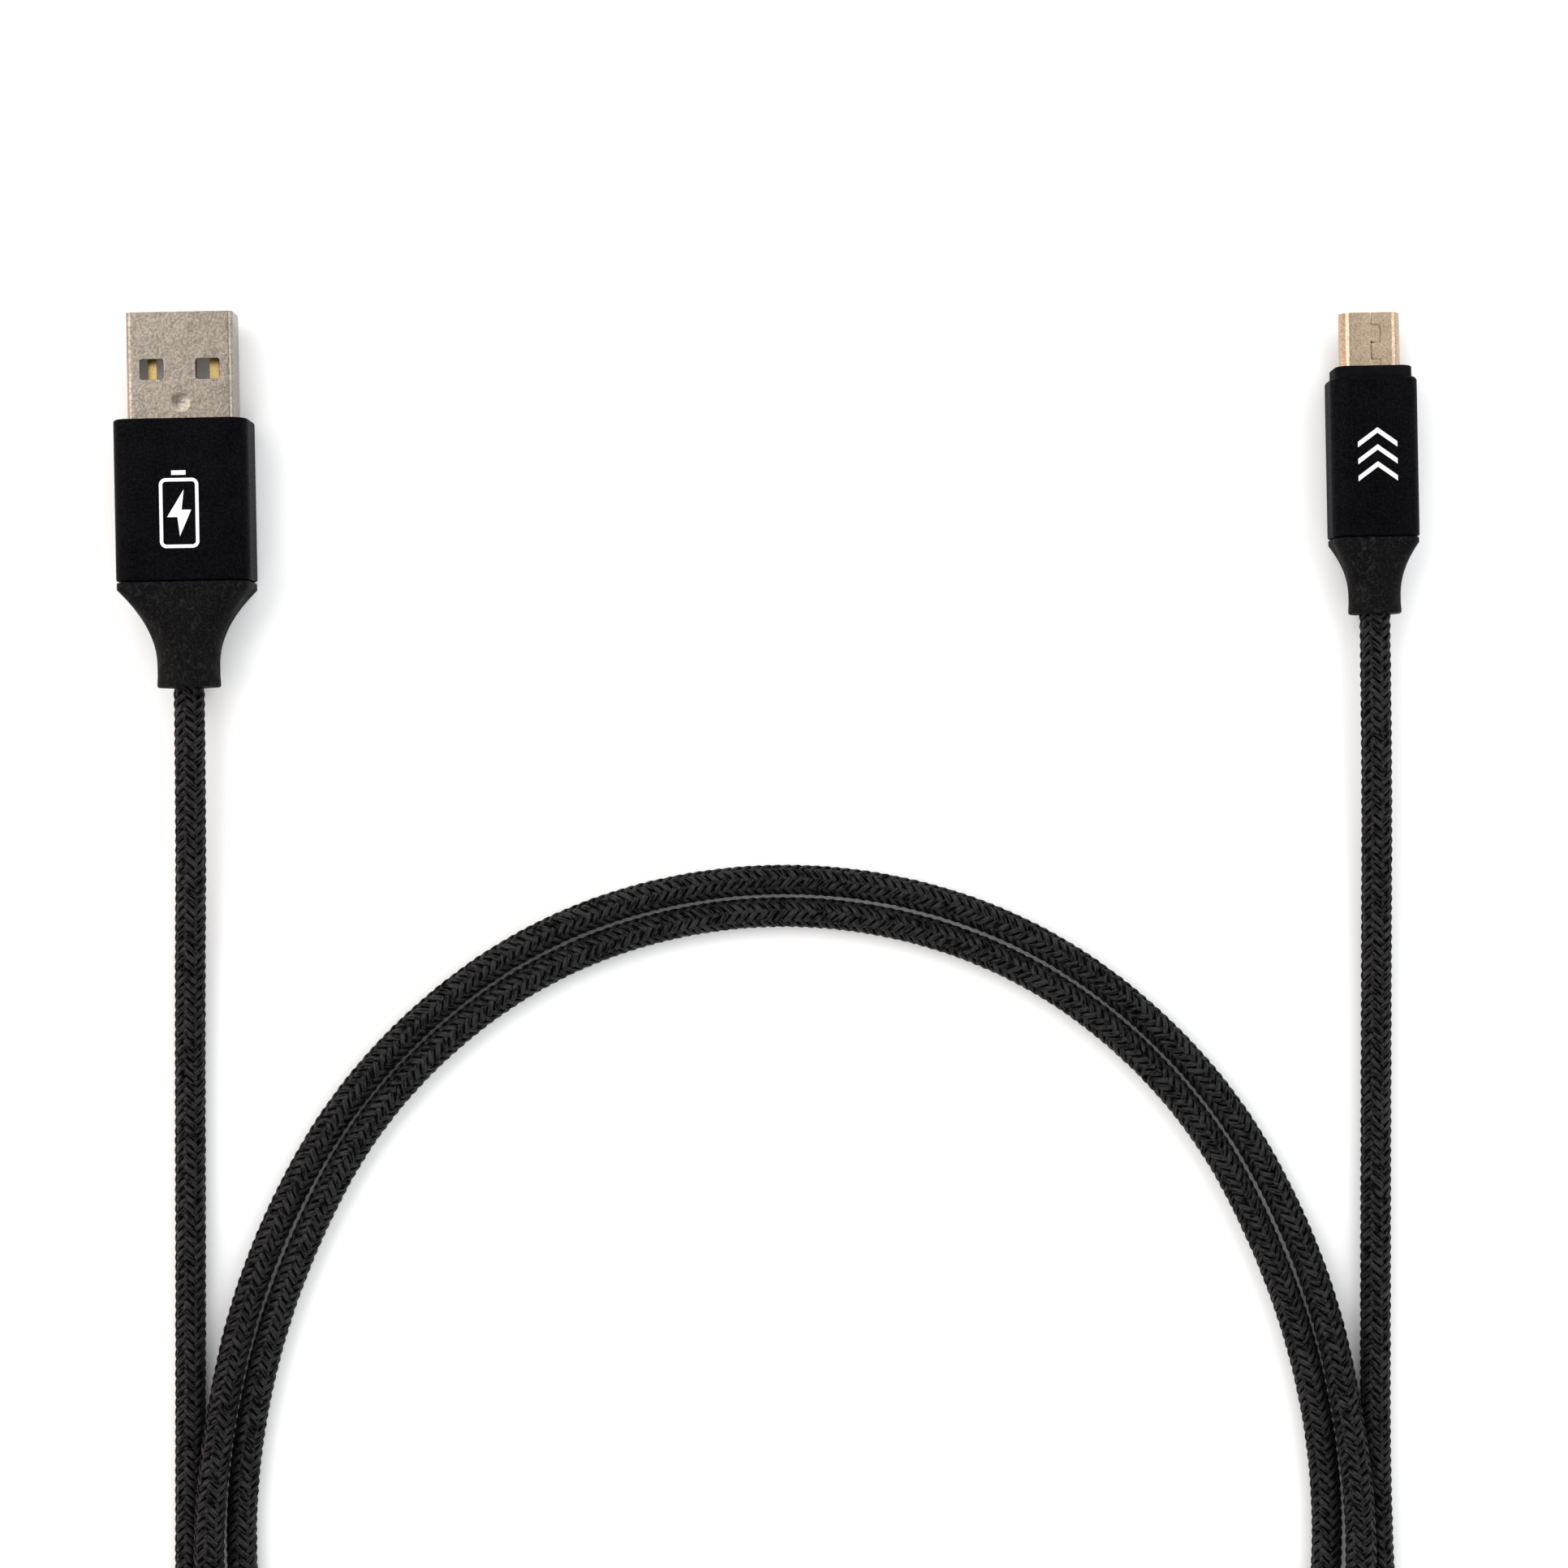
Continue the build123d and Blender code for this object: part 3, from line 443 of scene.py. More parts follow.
def vary_colour(material, factor, colour, low_share, high_share):
    """Let a value move the base colour between two shades, each a share of a colour."""
    node = material.node_tree.nodes.new("ShaderNodeMix")
    node.data_type = "RGBA"
    for socket, share in (("A", low_share), ("B", high_share)):
        shade = tuple(min(1.0, channel * share) for channel in colour)
        node.inputs[socket].default_value = (*shade, 1)
    material.node_tree.links.new(factor, node.inputs["Factor"])
    drive(material, "Base Color", node.outputs["Result"])


def combine(material, first, second, operation="ADD"):
    """A sum, or another operation, of two values, each a link or a number."""
    node = material.node_tree.nodes.new("ShaderNodeMath")
    node.operation = operation
    for socket, value in zip(node.inputs, (first, second)):
        if isinstance(value, (int, float)):
            socket.default_value = value
        else:
            material.node_tree.links.new(value, socket)
    return node.outputs["Value"]


def bump(material, height, distance, strength=1.0):
    """Raise the surface by the height, up to the distance in metres."""
    node = material.node_tree.nodes.new("ShaderNodeBump")
    node.inputs["Distance"].default_value = distance
    node.inputs["Strength"].default_value = strength
    material.node_tree.links.new(height, node.inputs["Height"])
    shader = material.node_tree.nodes["Principled BSDF"]
    material.node_tree.links.new(node.outputs["Normal"], shader.inputs["Normal"])


def drive(material, socket, value):
    """Link a value or colour to one of the shader's sockets."""
    shader = material.node_tree.nodes["Principled BSDF"]
    material.node_tree.links.new(value, shader.inputs[socket])


def plated_metal(name, colour, peel, peel_scale):
    """Nickel plate over folded steel: an orange-peel surface with faint stains and rub marks."""
    material = new_material(name, colour, 0.3, 1.0)
    grain = noise(material, peel_scale, detail=3.0, roughness=0.55)
    stains = noise(material, 420, detail=4.0, roughness=0.6)
    shade = combine(
        material, remap(material, grain, 0.36, 0.64, 0, 0.75),
        remap(material, stains, 0.35, 0.7, 0, 0.25),
    )
    vary_colour(material, shade, colour, 1.35, 0.66)
    rubs = noise(material, 900, detail=3.0, roughness=0.6, stretch=(6, 1, 1))
    drive(material, "Roughness", remap(material, rubs, 0.3, 0.75, 0.26, 0.4))
    bump(material, grain, peel)
    return material


def blasted_black(name, colour):
    """Black anodised aluminium with a fine blasted grain and faint handling marks."""
    material = new_material(name, colour, 0.5, IOR=1.08, Specular_IOR_Level=0.5)
    haze = noise(material, 260, detail=4.0, roughness=0.65)
    specks = noise(material, 3600, detail=3.0, roughness=0.6)
    shade = combine(
        material, remap(material, haze, 0.3, 0.75, 0, 0.3),
        remap(material, specks, 0.42, 0.72, 0, 0.9),
    )
    vary_colour(material, shade, colour, 0.4, 3.2)
    drive(material, "Roughness", remap(material, specks, 0.35, 0.7, 0.54, 0.38))
    bump(material, specks, 0.02 * MM)
    return material


def soft_rubber(name, colour):
    """Moulded rubber with fine grain, pale specks and swirling scuffs."""
    material = new_material(name, colour, 0.6, IOR=1.12, Specular_IOR_Level=0.5)
    scuffs = noise(material, 1100, detail=8.0, roughness=0.75, stretch=(1, 0.7, 1), swirl=1.8)
    specks = noise(material, 5200, detail=2.0, roughness=0.6)
    wear = combine(
        material, remap(material, scuffs, 0.5, 0.7, 0, 0.7),
        remap(material, specks, 0.54, 0.74, 0, 0.6),
    )
    vary_colour(material, wear, colour, 0.7, 7.0)
    rubbed = noise(material, 500, detail=3.0)
    drive(material, "Roughness", remap(material, rubbed, 0.3, 0.7, 0.52, 0.72))
    grain = combine(material, noise(material, 7000, detail=3.0, roughness=0.6), scuffs)
    bump(material, grain, 0.02 * MM)
    return material


def grained_plastic(
    name, colour, roughness, grain=0.01 * MM, scale=7000, variation=1.25, shine=0.4,
):
    """Moulded plastic with a fine grain and slight change of shade."""
    material = new_material(name, colour, roughness, IOR=1.3, Specular_IOR_Level=shine)
    shade = noise(material, 380, detail=3.0)
    vary_colour(material, remap(material, shade, 0.35, 0.7, 0, 1), colour, 1, variation)
    wear = noise(material, 900, detail=2.0)
    wear = remap(material, wear, 0.3, 0.7, roughness - 0.06, roughness + 0.08)
    drive(material, "Roughness", wear)
    bump(material, noise(material, scale, detail=2.0), grain)
    return material


def drawn_metal(name, colour, roughness, stretch=(1, 12, 1)):
    """Bare or plated strip metal with fine drawing lines across its length."""
    material = new_material(name, colour, roughness, 1.0)
    lines = noise(material, 1500, detail=3.0, roughness=0.6, stretch=stretch)
    drive(material, "Roughness", remap(material, lines, 0.3, 0.7, roughness * 0.8, roughness * 1.4))
    vary_colour(material, remap(material, lines, 0.3, 0.7, 0, 1), colour, 0.92, 1.05)
    bump(material, lines, 0.003 * MM)
    return material


def woven_nylon(name, colour):
    """Dyed filament yarn, read from its own UV map: fine streaks along it, partly a painted
    highlight, and dull flanks in painted shade.
    """
    material = new_material(name, colour, 0.42, IOR=1.3, Specular_IOR_Level=0.5)
    split = material.node_tree.nodes.new("ShaderNodeSeparateXYZ")
    material.node_tree.links.new(coordinates(material, use_uv=True), split.inputs["Vector"])
    across = combine(material, split.outputs["Y"], 1.0, "FRACT")
    off_crown = combine(material, combine(material, across, 0.5, "SUBTRACT"), 0, "ABSOLUTE")
    # painted shade: the flanks towards the gaps between yarns take the darkest shade, and only the
    # crown keeps the lighter streaks
    crown_clear_of_painted_shade = remap(material, off_crown, 0.26, 0.44, 1, 0)
    streaks = noise(material, 1.0, detail=3.0, roughness=0.6, stretch=(1.1, 3.6, 1), use_uv=True)
    patches = noise(material, 0.6, detail=3.0, roughness=0.6, stretch=(1, 0.7, 1), use_uv=True)
    # lighter streaks and patches: partly the yarn's filament streaks, partly a painted highlight up
    # to 4.6 times its colour
    light = combine(
        material, remap(material, streaks, 0.4, 0.62, 0, 0.75),
        remap(material, patches, 0.42, 0.62, 0, 0.4),
    )
    light = combine(material, light, crown_clear_of_painted_shade, "MULTIPLY")
    vary_colour(material, light, colour, 0.25, 4.6)
    drive(material, "Roughness", remap(material, light, 0, 1, 0.85, 0.5))
    drive(material, "Specular IOR Level", remap(material, light, 0, 0.6, 0, 0.6))
    bump(material, streaks, 0.08 * MM)
    return material


def assign(piece, material):
    """Give the piece this one material, leaving its mesh as it is."""
    if piece.data.materials:
        for index in range(len(piece.data.materials)):
            piece.data.materials[index] = material
    else:
        piece.data.materials.append(material)


# ---------------------------------------------------------------- stage
SKY_COLOUR, SKY_STRENGTH = (0.98, 0.99, 1), 0.42
LIGHT_TARGET = (0, -0.04, 0)
# name, place in metres, side in metres, power in watts, colour
PANELS = (
    ("key_panel", (-0.55, 0.25, 0.6), 0.8, 5.6, (1, 0.99, 0.97)),
    ("fill_panel", (0.6, 0.1, 0.55), 0.8, 3.8, (0.98, 0.99, 1)),
    ("near_panel", (0.0, -0.75, 0.6), 0.8, 2.9, (1, 1, 1)),
    ("far_panel", (0.1, 0.7, 0.6), 0.8, 2.9, (1, 1, 1)),
    ("warm_card", (-0.5, -0.05, 0.1), 0.16, 0.5, (1, 0.45, 0.3)),
)


class CABLE_OT_stage(Operator):
    """Floor, studio light and a camera that looks straight down"""

    bl_idname = "cable.stage"
    bl_label = "Stage"

    def execute(self, context):
        scene = context.scene
        settings = scene.cable_stage
        camera_data = bpy.data.cameras.new("camera")
        camera_data.lens = settings.lens
        camera_data.sensor_width = 36
        camera_data.clip_start, camera_data.clip_end = 0.01, 10
        camera = linked("camera", camera_data)
        camera.location = (settings.centre_x, settings.centre_y, settings.height)
        camera.rotation_euler = (0, 0, -settings.roll)
        scene.camera = camera

        bpy.ops.object.select_all(action="DESELECT")
        bpy.ops.mesh.primitive_plane_add(size=6, location=(0, 0, 0))
        floor = context.object
        floor.name = "floor"
        floor_finish = new_material("pale_sheet", settings.floor_colour, 0.85)
        floor.data.materials.append(floor_finish)

        world = bpy.data.worlds.new("studio")
        scene.world = world
        world.use_nodes = True
        sky = world.node_tree.nodes["Background"]
        sky.inputs["Color"].default_value = (*SKY_COLOUR, 1)
        sky.inputs["Strength"].default_value = SKY_STRENGTH
        for name, place, size, power, colour in PANELS:
            lamp_data = bpy.data.lights.new(name, "AREA")
            lamp_data.shape = "SQUARE"
            lamp_data.size = size
            lamp_data.energy = power
            lamp_data.color = colour
            lamp = linked(name, lamp_data)
            lamp.location = place
            aim = Vector(LIGHT_TARGET) - Vector(place)
            lamp.rotation_euler = aim.to_track_quat("-Z", "Y").to_euler()
        scene.view_settings.view_transform = "Standard"
        return {"FINISHED"}


# ---------------------------------------------------------------- cord
CORE_STEPS, LINE_STEPS = 24, 64  # curve steps between route points, for the core and the yarns
# a yarn's section: half widths across it, and shares of its thickness above its middle
YARN_SECTION = ((-1, -0.5), (-0.7, 0.1), (0, 0.5), (0.7, 0.1), (1, -0.5))
CORE_DEPTH = 1.8  # yarn thicknesses from the outside of the braid to the core
FLAT_WAVE = 0.7  # power that flattens a yarn's over and under runs; 1 is a plain wave
# uneven tension: how far a yarn wanders in and out, over which lengths, and each yarn's phase
WANDER, WANDER_LENGTHS, WANDER_PHASE = 0.012 * MM, (3.1 * MM, 7.7 * MM), 1.7
YARN_SHIFT, WAY_SHIFT = 7.3, 3.1  # set each yarn's streaks apart along its UV map


def route_curve(name, resolution):
    """The cord's middle line, a quadratic NURBS curve that its route points pull into place."""
    data = bpy.data.curves.new(name, "CURVE")
    data.dimensions = "3D"
    data.resolution_u = resolution
    spline = data.splines.new("NURBS")
    spline.points.add(len(ROUTE) - 1)
    for point, place in zip(spline.points, ROUTE):
        point.co = (*place, 1)
    spline.order_u = 3
    spline.use_endpoint_u = True
    return linked(name, data)


def middle_line(step):
    """Evenly spaced points of the cord's middle line, with a frame that doesn't twist."""
    curve = route_curve("line", LINE_STEPS)
    bpy.context.view_layer.update()
    line = bpy.data.meshes.new_from_object(curve)
    points = np.array([vertex.co for vertex in line.vertices], float)
    bpy.data.meshes.remove(line)
    bpy.data.objects.remove(curve)
    lengths = np.concatenate([[0], np.cumsum(np.linalg.norm(np.diff(points, axis=0), axis=1))])
    count = int(lengths[-1] / step)
    places = np.arange(count + 1) * step
    even = np.stack([np.interp(places, lengths, points[:, axis]) for axis in range(3)], axis=1)
    tangents = np.gradient(even, axis=0)
    tangents /= np.linalg.norm(tangents, axis=1)[:, None]
    sides = np.zeros_like(even)
    side = np.cross(tangents[0], (0, 0, 1))
    for index, tangent in enumerate(tangents):
        side = side - tangent * side.dot(tangent)
        side = side / np.linalg.norm(side)
        sides[index] = side
    ups = np.cross(sides, tangents)
    return places, even, sides, ups


def yarn_group(name, yarns, line, settings):
    """Several flat yarns of the braid as one mesh, each a closed ribbon with a raised middle."""
    places, even, sides, ups = line
    carriers = settings.carriers
    lead = settings.lead
    thickness = settings.yarn_thickness
    lift = thickness / 2
    radius = settings.diameter / 2 - thickness
    circumference = 2 * math.pi * radius
    pitch = math.atan(circumference / lead)  # a yarn's angle to the cord
    half_width = circumference / carriers * math.cos(pitch) / 2
    points, faces, uvs = [], [], []
    count, corners = len(places), len(YARN_SECTION)
    crossing = lead / (2 * carriers)
    for turn, number in yarns:
        angle = turn * 2 * math.pi * places / lead + 2 * math.pi * number / carriers
        # each yarn passes over two crossings and under the next two
        index = places / crossing
        if turn > 0:
            wave = np.cos(math.pi / 2 * (index + 2 * number - 0.5))
        else:
            wave = -np.cos(math.pi / 2 * (2 * number - index - 0.5))
        wave = np.sign(wave) * np.abs(wave) ** FLAT_WAVE
        wander = np.sin(places / WANDER_LENGTHS[0] + WANDER_PHASE * number)
        wander = WANDER * wander * np.cos(places / WANDER_LENGTHS[1] + turn)
        rise = radius + lift * wave + wander
        # across the yarn: a step round the cord and a step along it
        across_round = half_width * math.cos(pitch)
        across_along = -turn * half_width * math.sin(pitch)
        tangents = np.cross(ups, sides)
        ring = []
        for share, height in YARN_SECTION:
            shifted = angle + share * across_round / radius
            outward = sides * np.cos(shifted)[:, None] + ups * np.sin(shifted)[:, None]
            place = even + outward * (rise + height * thickness)[:, None]
            ring.append(place + tangents * (share * across_along))
        start = len(points)
        points.extend(np.stack(ring, axis=1).reshape(-1, 3))
        along = places / MM / math.cos(pitch)
        shift = YARN_SHIFT * number + WAY_SHIFT * turn
        for step in range(count - 1):
            a = start + corners * step
            b = a + corners
            for low in range(corners):
                high = (low + 1) % corners
                v0, v1 = (0.5 + YARN_SECTION[place][0] / 2 for place in (low, high))
                faces.append((a + low, a + high, b + high, b + low))
                u0, u1 = along[step] + shift, along[step + 1] + shift
                uvs.extend((u0, v0 + number, u0, v1 + number, u1, v1 + number, u1, v0 + number))
        for end in (start, start + corners * (count - 1)):
            faces.append(tuple(range(end, end + corners)))
            uvs.extend((0, 0) * corners)
    mesh = bpy.data.meshes.new(name)
    mesh.from_pydata([tuple(point) for point in points], [], faces)
    layer = mesh.uv_layers.new(name="UVMap")
    layer.data.foreach_set("uv", uvs)
    piece = linked(name, mesh)
    make_active(piece)
    bpy.ops.object.mode_set(mode="EDIT")
    bpy.ops.mesh.select_all(action="SELECT")
    bpy.ops.mesh.normals_make_consistent(inside=False)
    bpy.ops.object.mode_set(mode="OBJECT")
    bpy.ops.object.shade_smooth_by_angle(angle=math.radians(75))
    return piece


class CABLE_OT_cord(Operator):
    """Braided cord: a dark core inside sixteen flat yarns that pass two over and two under"""

    bl_idname = "cable.cord"
    bl_label = "Braided cord"

    def execute(self, context):
        settings = context.scene.cable_cord
        core = route_curve("cord_core", CORE_STEPS)
        core.data.bevel_depth = settings.diameter / 2 - CORE_DEPTH * settings.yarn_thickness
        core.data.bevel_resolution = 4
        core.data.use_fill_caps = True
        black = grained_plastic("cord_core_black", (0.004, 0.004, 0.0045), 0.8, shine=0.1)
        dress(core, black, "cord_braid", "cord")

        line = middle_line(settings.lead / (4 * settings.carriers))
        nylon = woven_nylon("woven_nylon", settings.colour)
        half = settings.carriers // 2
        for turn, way in ((1, "right"), (-1, "left")):
            for part, numbers in (("a", range(half)), ("b", range(half, settings.carriers))):
                yarns = [(turn, number) for number in numbers]
                braid = yarn_group(f"braid_{way}_{part}", yarns, line, settings)
                dress(braid, nylon, "cord_braid")
        return {"FINISHED"}


# ---------------------------------------------------------------- shells
class CABLE_OT_host_shell(Operator):
    """Folded shell of the host plug with its windows, dimples and seam"""

    bl_idname = "cable.host_shell"
    bl_label = "Host shell"

    def execute(self, context):
        settings = context.scene.cable_host
        shell = folded_sleeve(
            "host_shell_plated", SHELL_LOW, SHELL_HIGH, HOST_SHELL_CORNER, HOST_SHELL_WALL,
        )
        below, above = SHELL_LOW.z - CUT_MARGIN, SHELL_HIGH.z + CUT_MARGIN
        half_x, half_y = settings.window_width / 2, settings.window_length / 2
        for side in (-1, 1):
            x = HOST_X + side * settings.window_offset
            y = HOST_TIP - settings.window_back
            low, high = (x - half_x, y - half_y, below), (x + half_x, y + half_y, above)
            cut(shell, rounded_cutter(low, high, WINDOW_CORNER, 2))
        soften(shell, WINDOW_ROUND, 3)
        # a shallow round dimple on each wide face, with a lanced slit through its middle
        ball = (DIMPLE_RADIUS**2 + DIMPLE_DEPTH**2) / (2 * DIMPLE_DEPTH)
        y = HOST_TIP - settings.dimple_back
        for z, side in ((SHELL_HIGH.z, 1), (SHELL_LOW.z, -1)):
            bpy.ops.object.select_all(action="DESELECT")
            bpy.ops.mesh.primitive_uv_sphere_add(
                segments=256, ring_count=256, radius=ball,
                location=(HOST_X, y, z + side * (ball - DIMPLE_DEPTH)),
            )
            cut(shell, settled("dimple_ball"))
        slit = rounded_cutter(
            (HOST_X - SLIT_LENGTH / 2, y - SLIT_WIDTH / 2, below),
            (HOST_X + SLIT_LENGTH / 2, y + SLIT_WIDTH / 2, above), SLIT_CORNER, 2,
        )
        cut(shell, slit)
        # interlocked seam along the middle of the underside
        back = (0, 2.4, 2.4, 4.6, 4.6, 8.8, 8.8, 11.0, 11.0, 12.4)
        over = (0, 0, 1, 1, 0, 0, 1, 1, 0, 0)
        seam = [(HOST_X + o * HOST_SEAM_STEP, HOST_TIP - b * MM) for o, b in zip(over, back)]
        for strip in seam_cutters(seam, HOST_SEAM_WIDTH, below, SHELL_LOW.z + HOST_SEAM_DEPTH):
            cut(shell, strip)
        soften(shell, HOST_SHELL_ROUND)
        nickel = plated_metal("host_nickel", settings.shell_colour, 0.018 * MM, 3600)
        dress(shell, nickel, "shell_nickel", "host_shell")
        return {"FINISHED"}


class CABLE_OT_device_shell(Operator):
    """Folded shell of the device plug: bevelled narrow face, latch slots and interlocked seam"""

    bl_idname = "cable.device_shell"
    bl_label = "Device shell"

    def execute(self, context):
        settings = context.scene.cable_device
        low, high = SMALL_SHELL_LOW, SMALL_SHELL_HIGH
        shell = block("device_shell_plated", low, high)
        bpy.ops.object.mode_set(mode="EDIT")
        # the narrow face: the two upper long edges are cut back to a bevel, then all edges rounded
        bpy.ops.mesh.select_all(action="SELECT")
        bpy.ops.mesh.bisect(plane_co=(0, 0, DEVICE_Z), plane_no=(0, 0, 1))
        pick(shell, "VERT", lambda v: near(v.co.z, high.z))
        top_share = DEVICE_SHELL_NARROW_WIDTH / (high.x - low.x)
        bpy.ops.transform.resize(value=(top_share, 1, 1), center_override=(DEVICE_X, 0, 0))

        round_edges(shell, runs_along(1), DEVICE_SHELL_CORNER, 5)
        open_ends(shell)
        thicken(shell, DEVICE_SHELL_WALL)
        half_x = LATCH_SLOT_WIDTH / 2
        slot_front, slot_back = DEVICE_TIP - LATCH_SLOT_FRONT, DEVICE_TIP - LATCH_SLOT_BACK
        for side in (-1, 1):
            x = DEVICE_X + side * LATCH_OFFSET
            slot_low = (x - half_x, slot_back, low.z - MM)
            slot_high = (x + half_x, slot_front, low.z + LATCH_SLOT_DEPTH)
            cut(shell, rounded_cutter(slot_low, slot_high, LATCH_SLOT_CORNER, 2))
        back = (-0.1, 1.4, 1.4, 3.35, 3.35, 5.3, 5.3, 6.9)
        over = (0, 0, 1, 1, 0, 0, 1, 1)
        seam = [(DEVICE_X + o * DEVICE_SEAM_STEP, DEVICE_TIP - b * MM) for o, b in zip(over, back)]
        seam_floor = high.z - DEVICE_SEAM_DEPTH
        for strip in seam_cutters(seam, settings.seam_width, seam_floor, high.z + MM):
            cut(shell, strip)
        soften(shell, DEVICE_SHELL_ROUND)
        nickel = plated_metal("device_nickel", settings.shell_colour, 0.004 * MM, 5200)
        dress(shell, nickel, "shell_warm_nickel", "device_shell")
        return {"FINISHED"}


# ---------------------------------------------------------------- housings and marks
class CABLE_OT_housings(Operator):
    """The two anodised housings"""

    bl_idname = "cable.housings"
    bl_label = "Housings"

    def execute(self, context):
        black = blasted_black("blasted_black", context.scene.cable_host.housing_colour)
        shell_x, shell_z = (SHELL_HIGH.x - SHELL_LOW.x) / 2, (SHELL_HIGH.z - SHELL_LOW.z) / 2
        host_mouth = (shell_x + SHELL_GAP, shell_z + SHELL_GAP, HOST_SHELL_CORNER + SHELL_GAP)
        for name, node, x, z, low, high, corner, wall, edge, mouth in (
            (
                "host_housing_sleeve", "host_housing", HOST_X, HOST_Z, HOUSING_LOW, HOUSING_HIGH,
                2.0 * MM, 0.9 * MM, 0.3 * MM, host_mouth,
            ),
            (
                "device_housing_sleeve", "device_housing", DEVICE_X, DEVICE_Z, SMALL_LOW,
                SMALL_HIGH, 2.1 * MM, 0.8 * MM, 0.5 * MM, None,
            ),
        ):
            rings = housing_rings(low, high, corner, wall, edge, mouth)
            housing = ringed_sleeve(name, x, z, rings, 224)
            dress(housing, black, "housing_aluminium", node)
        return {"FINISHED"}


def housing_rings(low, high, corner, wall, edge, mouth):
    """Rings of a drawn housing: front and rear rounds, cavity, and a front closed to a mouth."""
    half_x, half_z = (high.x - low.x) / 2, (high.z - low.z) / 2
    rear, rim = REAR_ROUND, RIM_BREAK
    rings = []

    def ring(y, inset):
        rings.append((y, half_x - inset, half_z - inset, corner - inset))

    for step in range(7):
        turn = math.radians(90 * step / 6)
        ring(high.y - edge * (1 - math.cos(turn)), edge * (1 - math.sin(turn)))
    for step in range(7):
        turn = math.radians(90 * step / 6)
        ring(low.y + rear * (1 - math.sin(turn)), rear * (1 - math.cos(turn)))
    ring(low.y, wall - rim)
    ring(low.y + rim, wall)
    if mouth:
        mouth_x, mouth_z, mouth_corner = mouth
        ring(high.y - wall, wall)
        rings.append((high.y - wall, mouth_x, mouth_z, mouth_corner))
        rings.append((high.y - rim, mouth_x, mouth_z, mouth_corner))
        rings.append((high.y, mouth_x + rim, mouth_z + rim, mouth_corner + rim))
    else:
        ring(high.y - rim, wall)
        ring(high.y, wall - rim)
    return rings


def outline_point(angle, half_x, half_z, corner):
    """The point of a rounded rectangle's outline in a direction from its middle."""
    c, d = abs(math.cos(angle)), abs(math.sin(angle))
    reach = min(half_x / max(c, 1e-9), half_z / max(d, 1e-9))
    corner_x, corner_z = half_x - corner, half_z - corner
    if reach * c > corner_x and reach * d > corner_z:
        along = c * corner_x + d * corner_z
        reach = along + math.sqrt(max(along**2 - corner_x**2 - corner_z**2 + corner**2, 0))
    return reach * math.cos(angle), reach * math.sin(angle)


def ringed_sleeve(name, axis_x, axis_z, rings, segments=96):
    """A smooth sleeve through rings of (y, half width, half height, corner), joined end to end."""
    bpy.ops.object.select_all(action="DESELECT")
    bpy.ops.mesh.primitive_circle_add(
        vertices=segments, radius=MM, location=(axis_x, rings[0][0], axis_z),
        rotation=(math.pi / 2, 0, 0),
    )
    piece = settled(name)
    bpy.ops.object.mode_set(mode="EDIT")
    bpy.ops.mesh.select_mode(type="EDGE")
    bpy.ops.mesh.select_all(action="SELECT")
    for index, (y, half_x, half_z, corner) in enumerate(rings):
        if index:
            bpy.ops.mesh.extrude_edges_move()
        mesh = bmesh.from_edit_mesh(piece.data)
        for vertex in mesh.verts:
            if vertex.select:
                angle = math.atan2(vertex.co.z - axis_z, vertex.co.x - axis_x)
                x, z = outline_point(angle, half_x, half_z, corner)
                vertex.co = (axis_x + x, y, axis_z + z)
        bmesh.update_edit_mesh(piece.data)
    pick(piece, "EDGE", lambda edge: edge.is_boundary)
    bpy.ops.mesh.bridge_edge_loops()
    tidy_up(40)
    return piece


def relief_rings(low, high, housing_end, neck, rim_length, flare_length, cavity, bore):
    """Rings of a strain relief: its spigot, rim, flare and neck, then back up the bore."""
    half_x, half_z = (high.x - low.x) / 2, (high.z - low.z) / 2
    cavity_x, cavity_z, cavity_corner = cavity
    rim_corner = cavity_corner + RIM_WALL
    start = housing_end
    rings = [
        (high.y, cavity_x, cavity_z, cavity_corner),
        (start, cavity_x, cavity_z, cavity_corner),
    ]
    # front edge of the rim, rounded
    edge = RIM_EDGE
    rings.append((start, half_x - edge, half_z - edge, rim_corner - edge))
    for turn in (30, 60, 90):
        inset = edge * (1 - math.sin(math.radians(turn)))
        y = start - edge * (1 - math.cos(math.radians(turn)))
        rings.append((y, half_x - inset, half_z - inset, rim_corner - inset))
    flare_start = start - rim_length
    steps = 18
    for step in range(steps + 1):
        along = step / steps
        share = (1 - along) ** 2
        wide = neck + share * (half_x - neck)
        tall = neck + share * (half_z - neck)
        corner = min(neck, tall) * NECK_CORNER_SHARE * (1 - share) + share * rim_corner
        rings.append((flare_start - along * flare_length, wide, tall, corner))
    # straight neck, a slight swelling at its end, and a rounded rear edge
    lip = LIP_ROUND
    rings.append((low.y + NECK_END, neck, neck, neck * NECK_CORNER_SHARE))
    for turn in (0, 25, 50, 75, 90):
        out = lip * math.cos(math.radians(turn))
        back = lip * math.sin(math.radians(turn))
        radius = neck + LIP_SWELLING - lip + out
        rings.append((low.y + lip - back, radius, radius, radius * NECK_CORNER_SHARE))
    # mouth of the bore
    for turn in (0, 45, 90):
        radius = bore + lip / 2 * (1 - math.sin(math.radians(turn)))
        rings.append((low.y + lip / 2 * (1 - math.cos(math.radians(turn))), radius, radius, radius))
    rings.append((high.y, bore, bore, bore))
    return rings


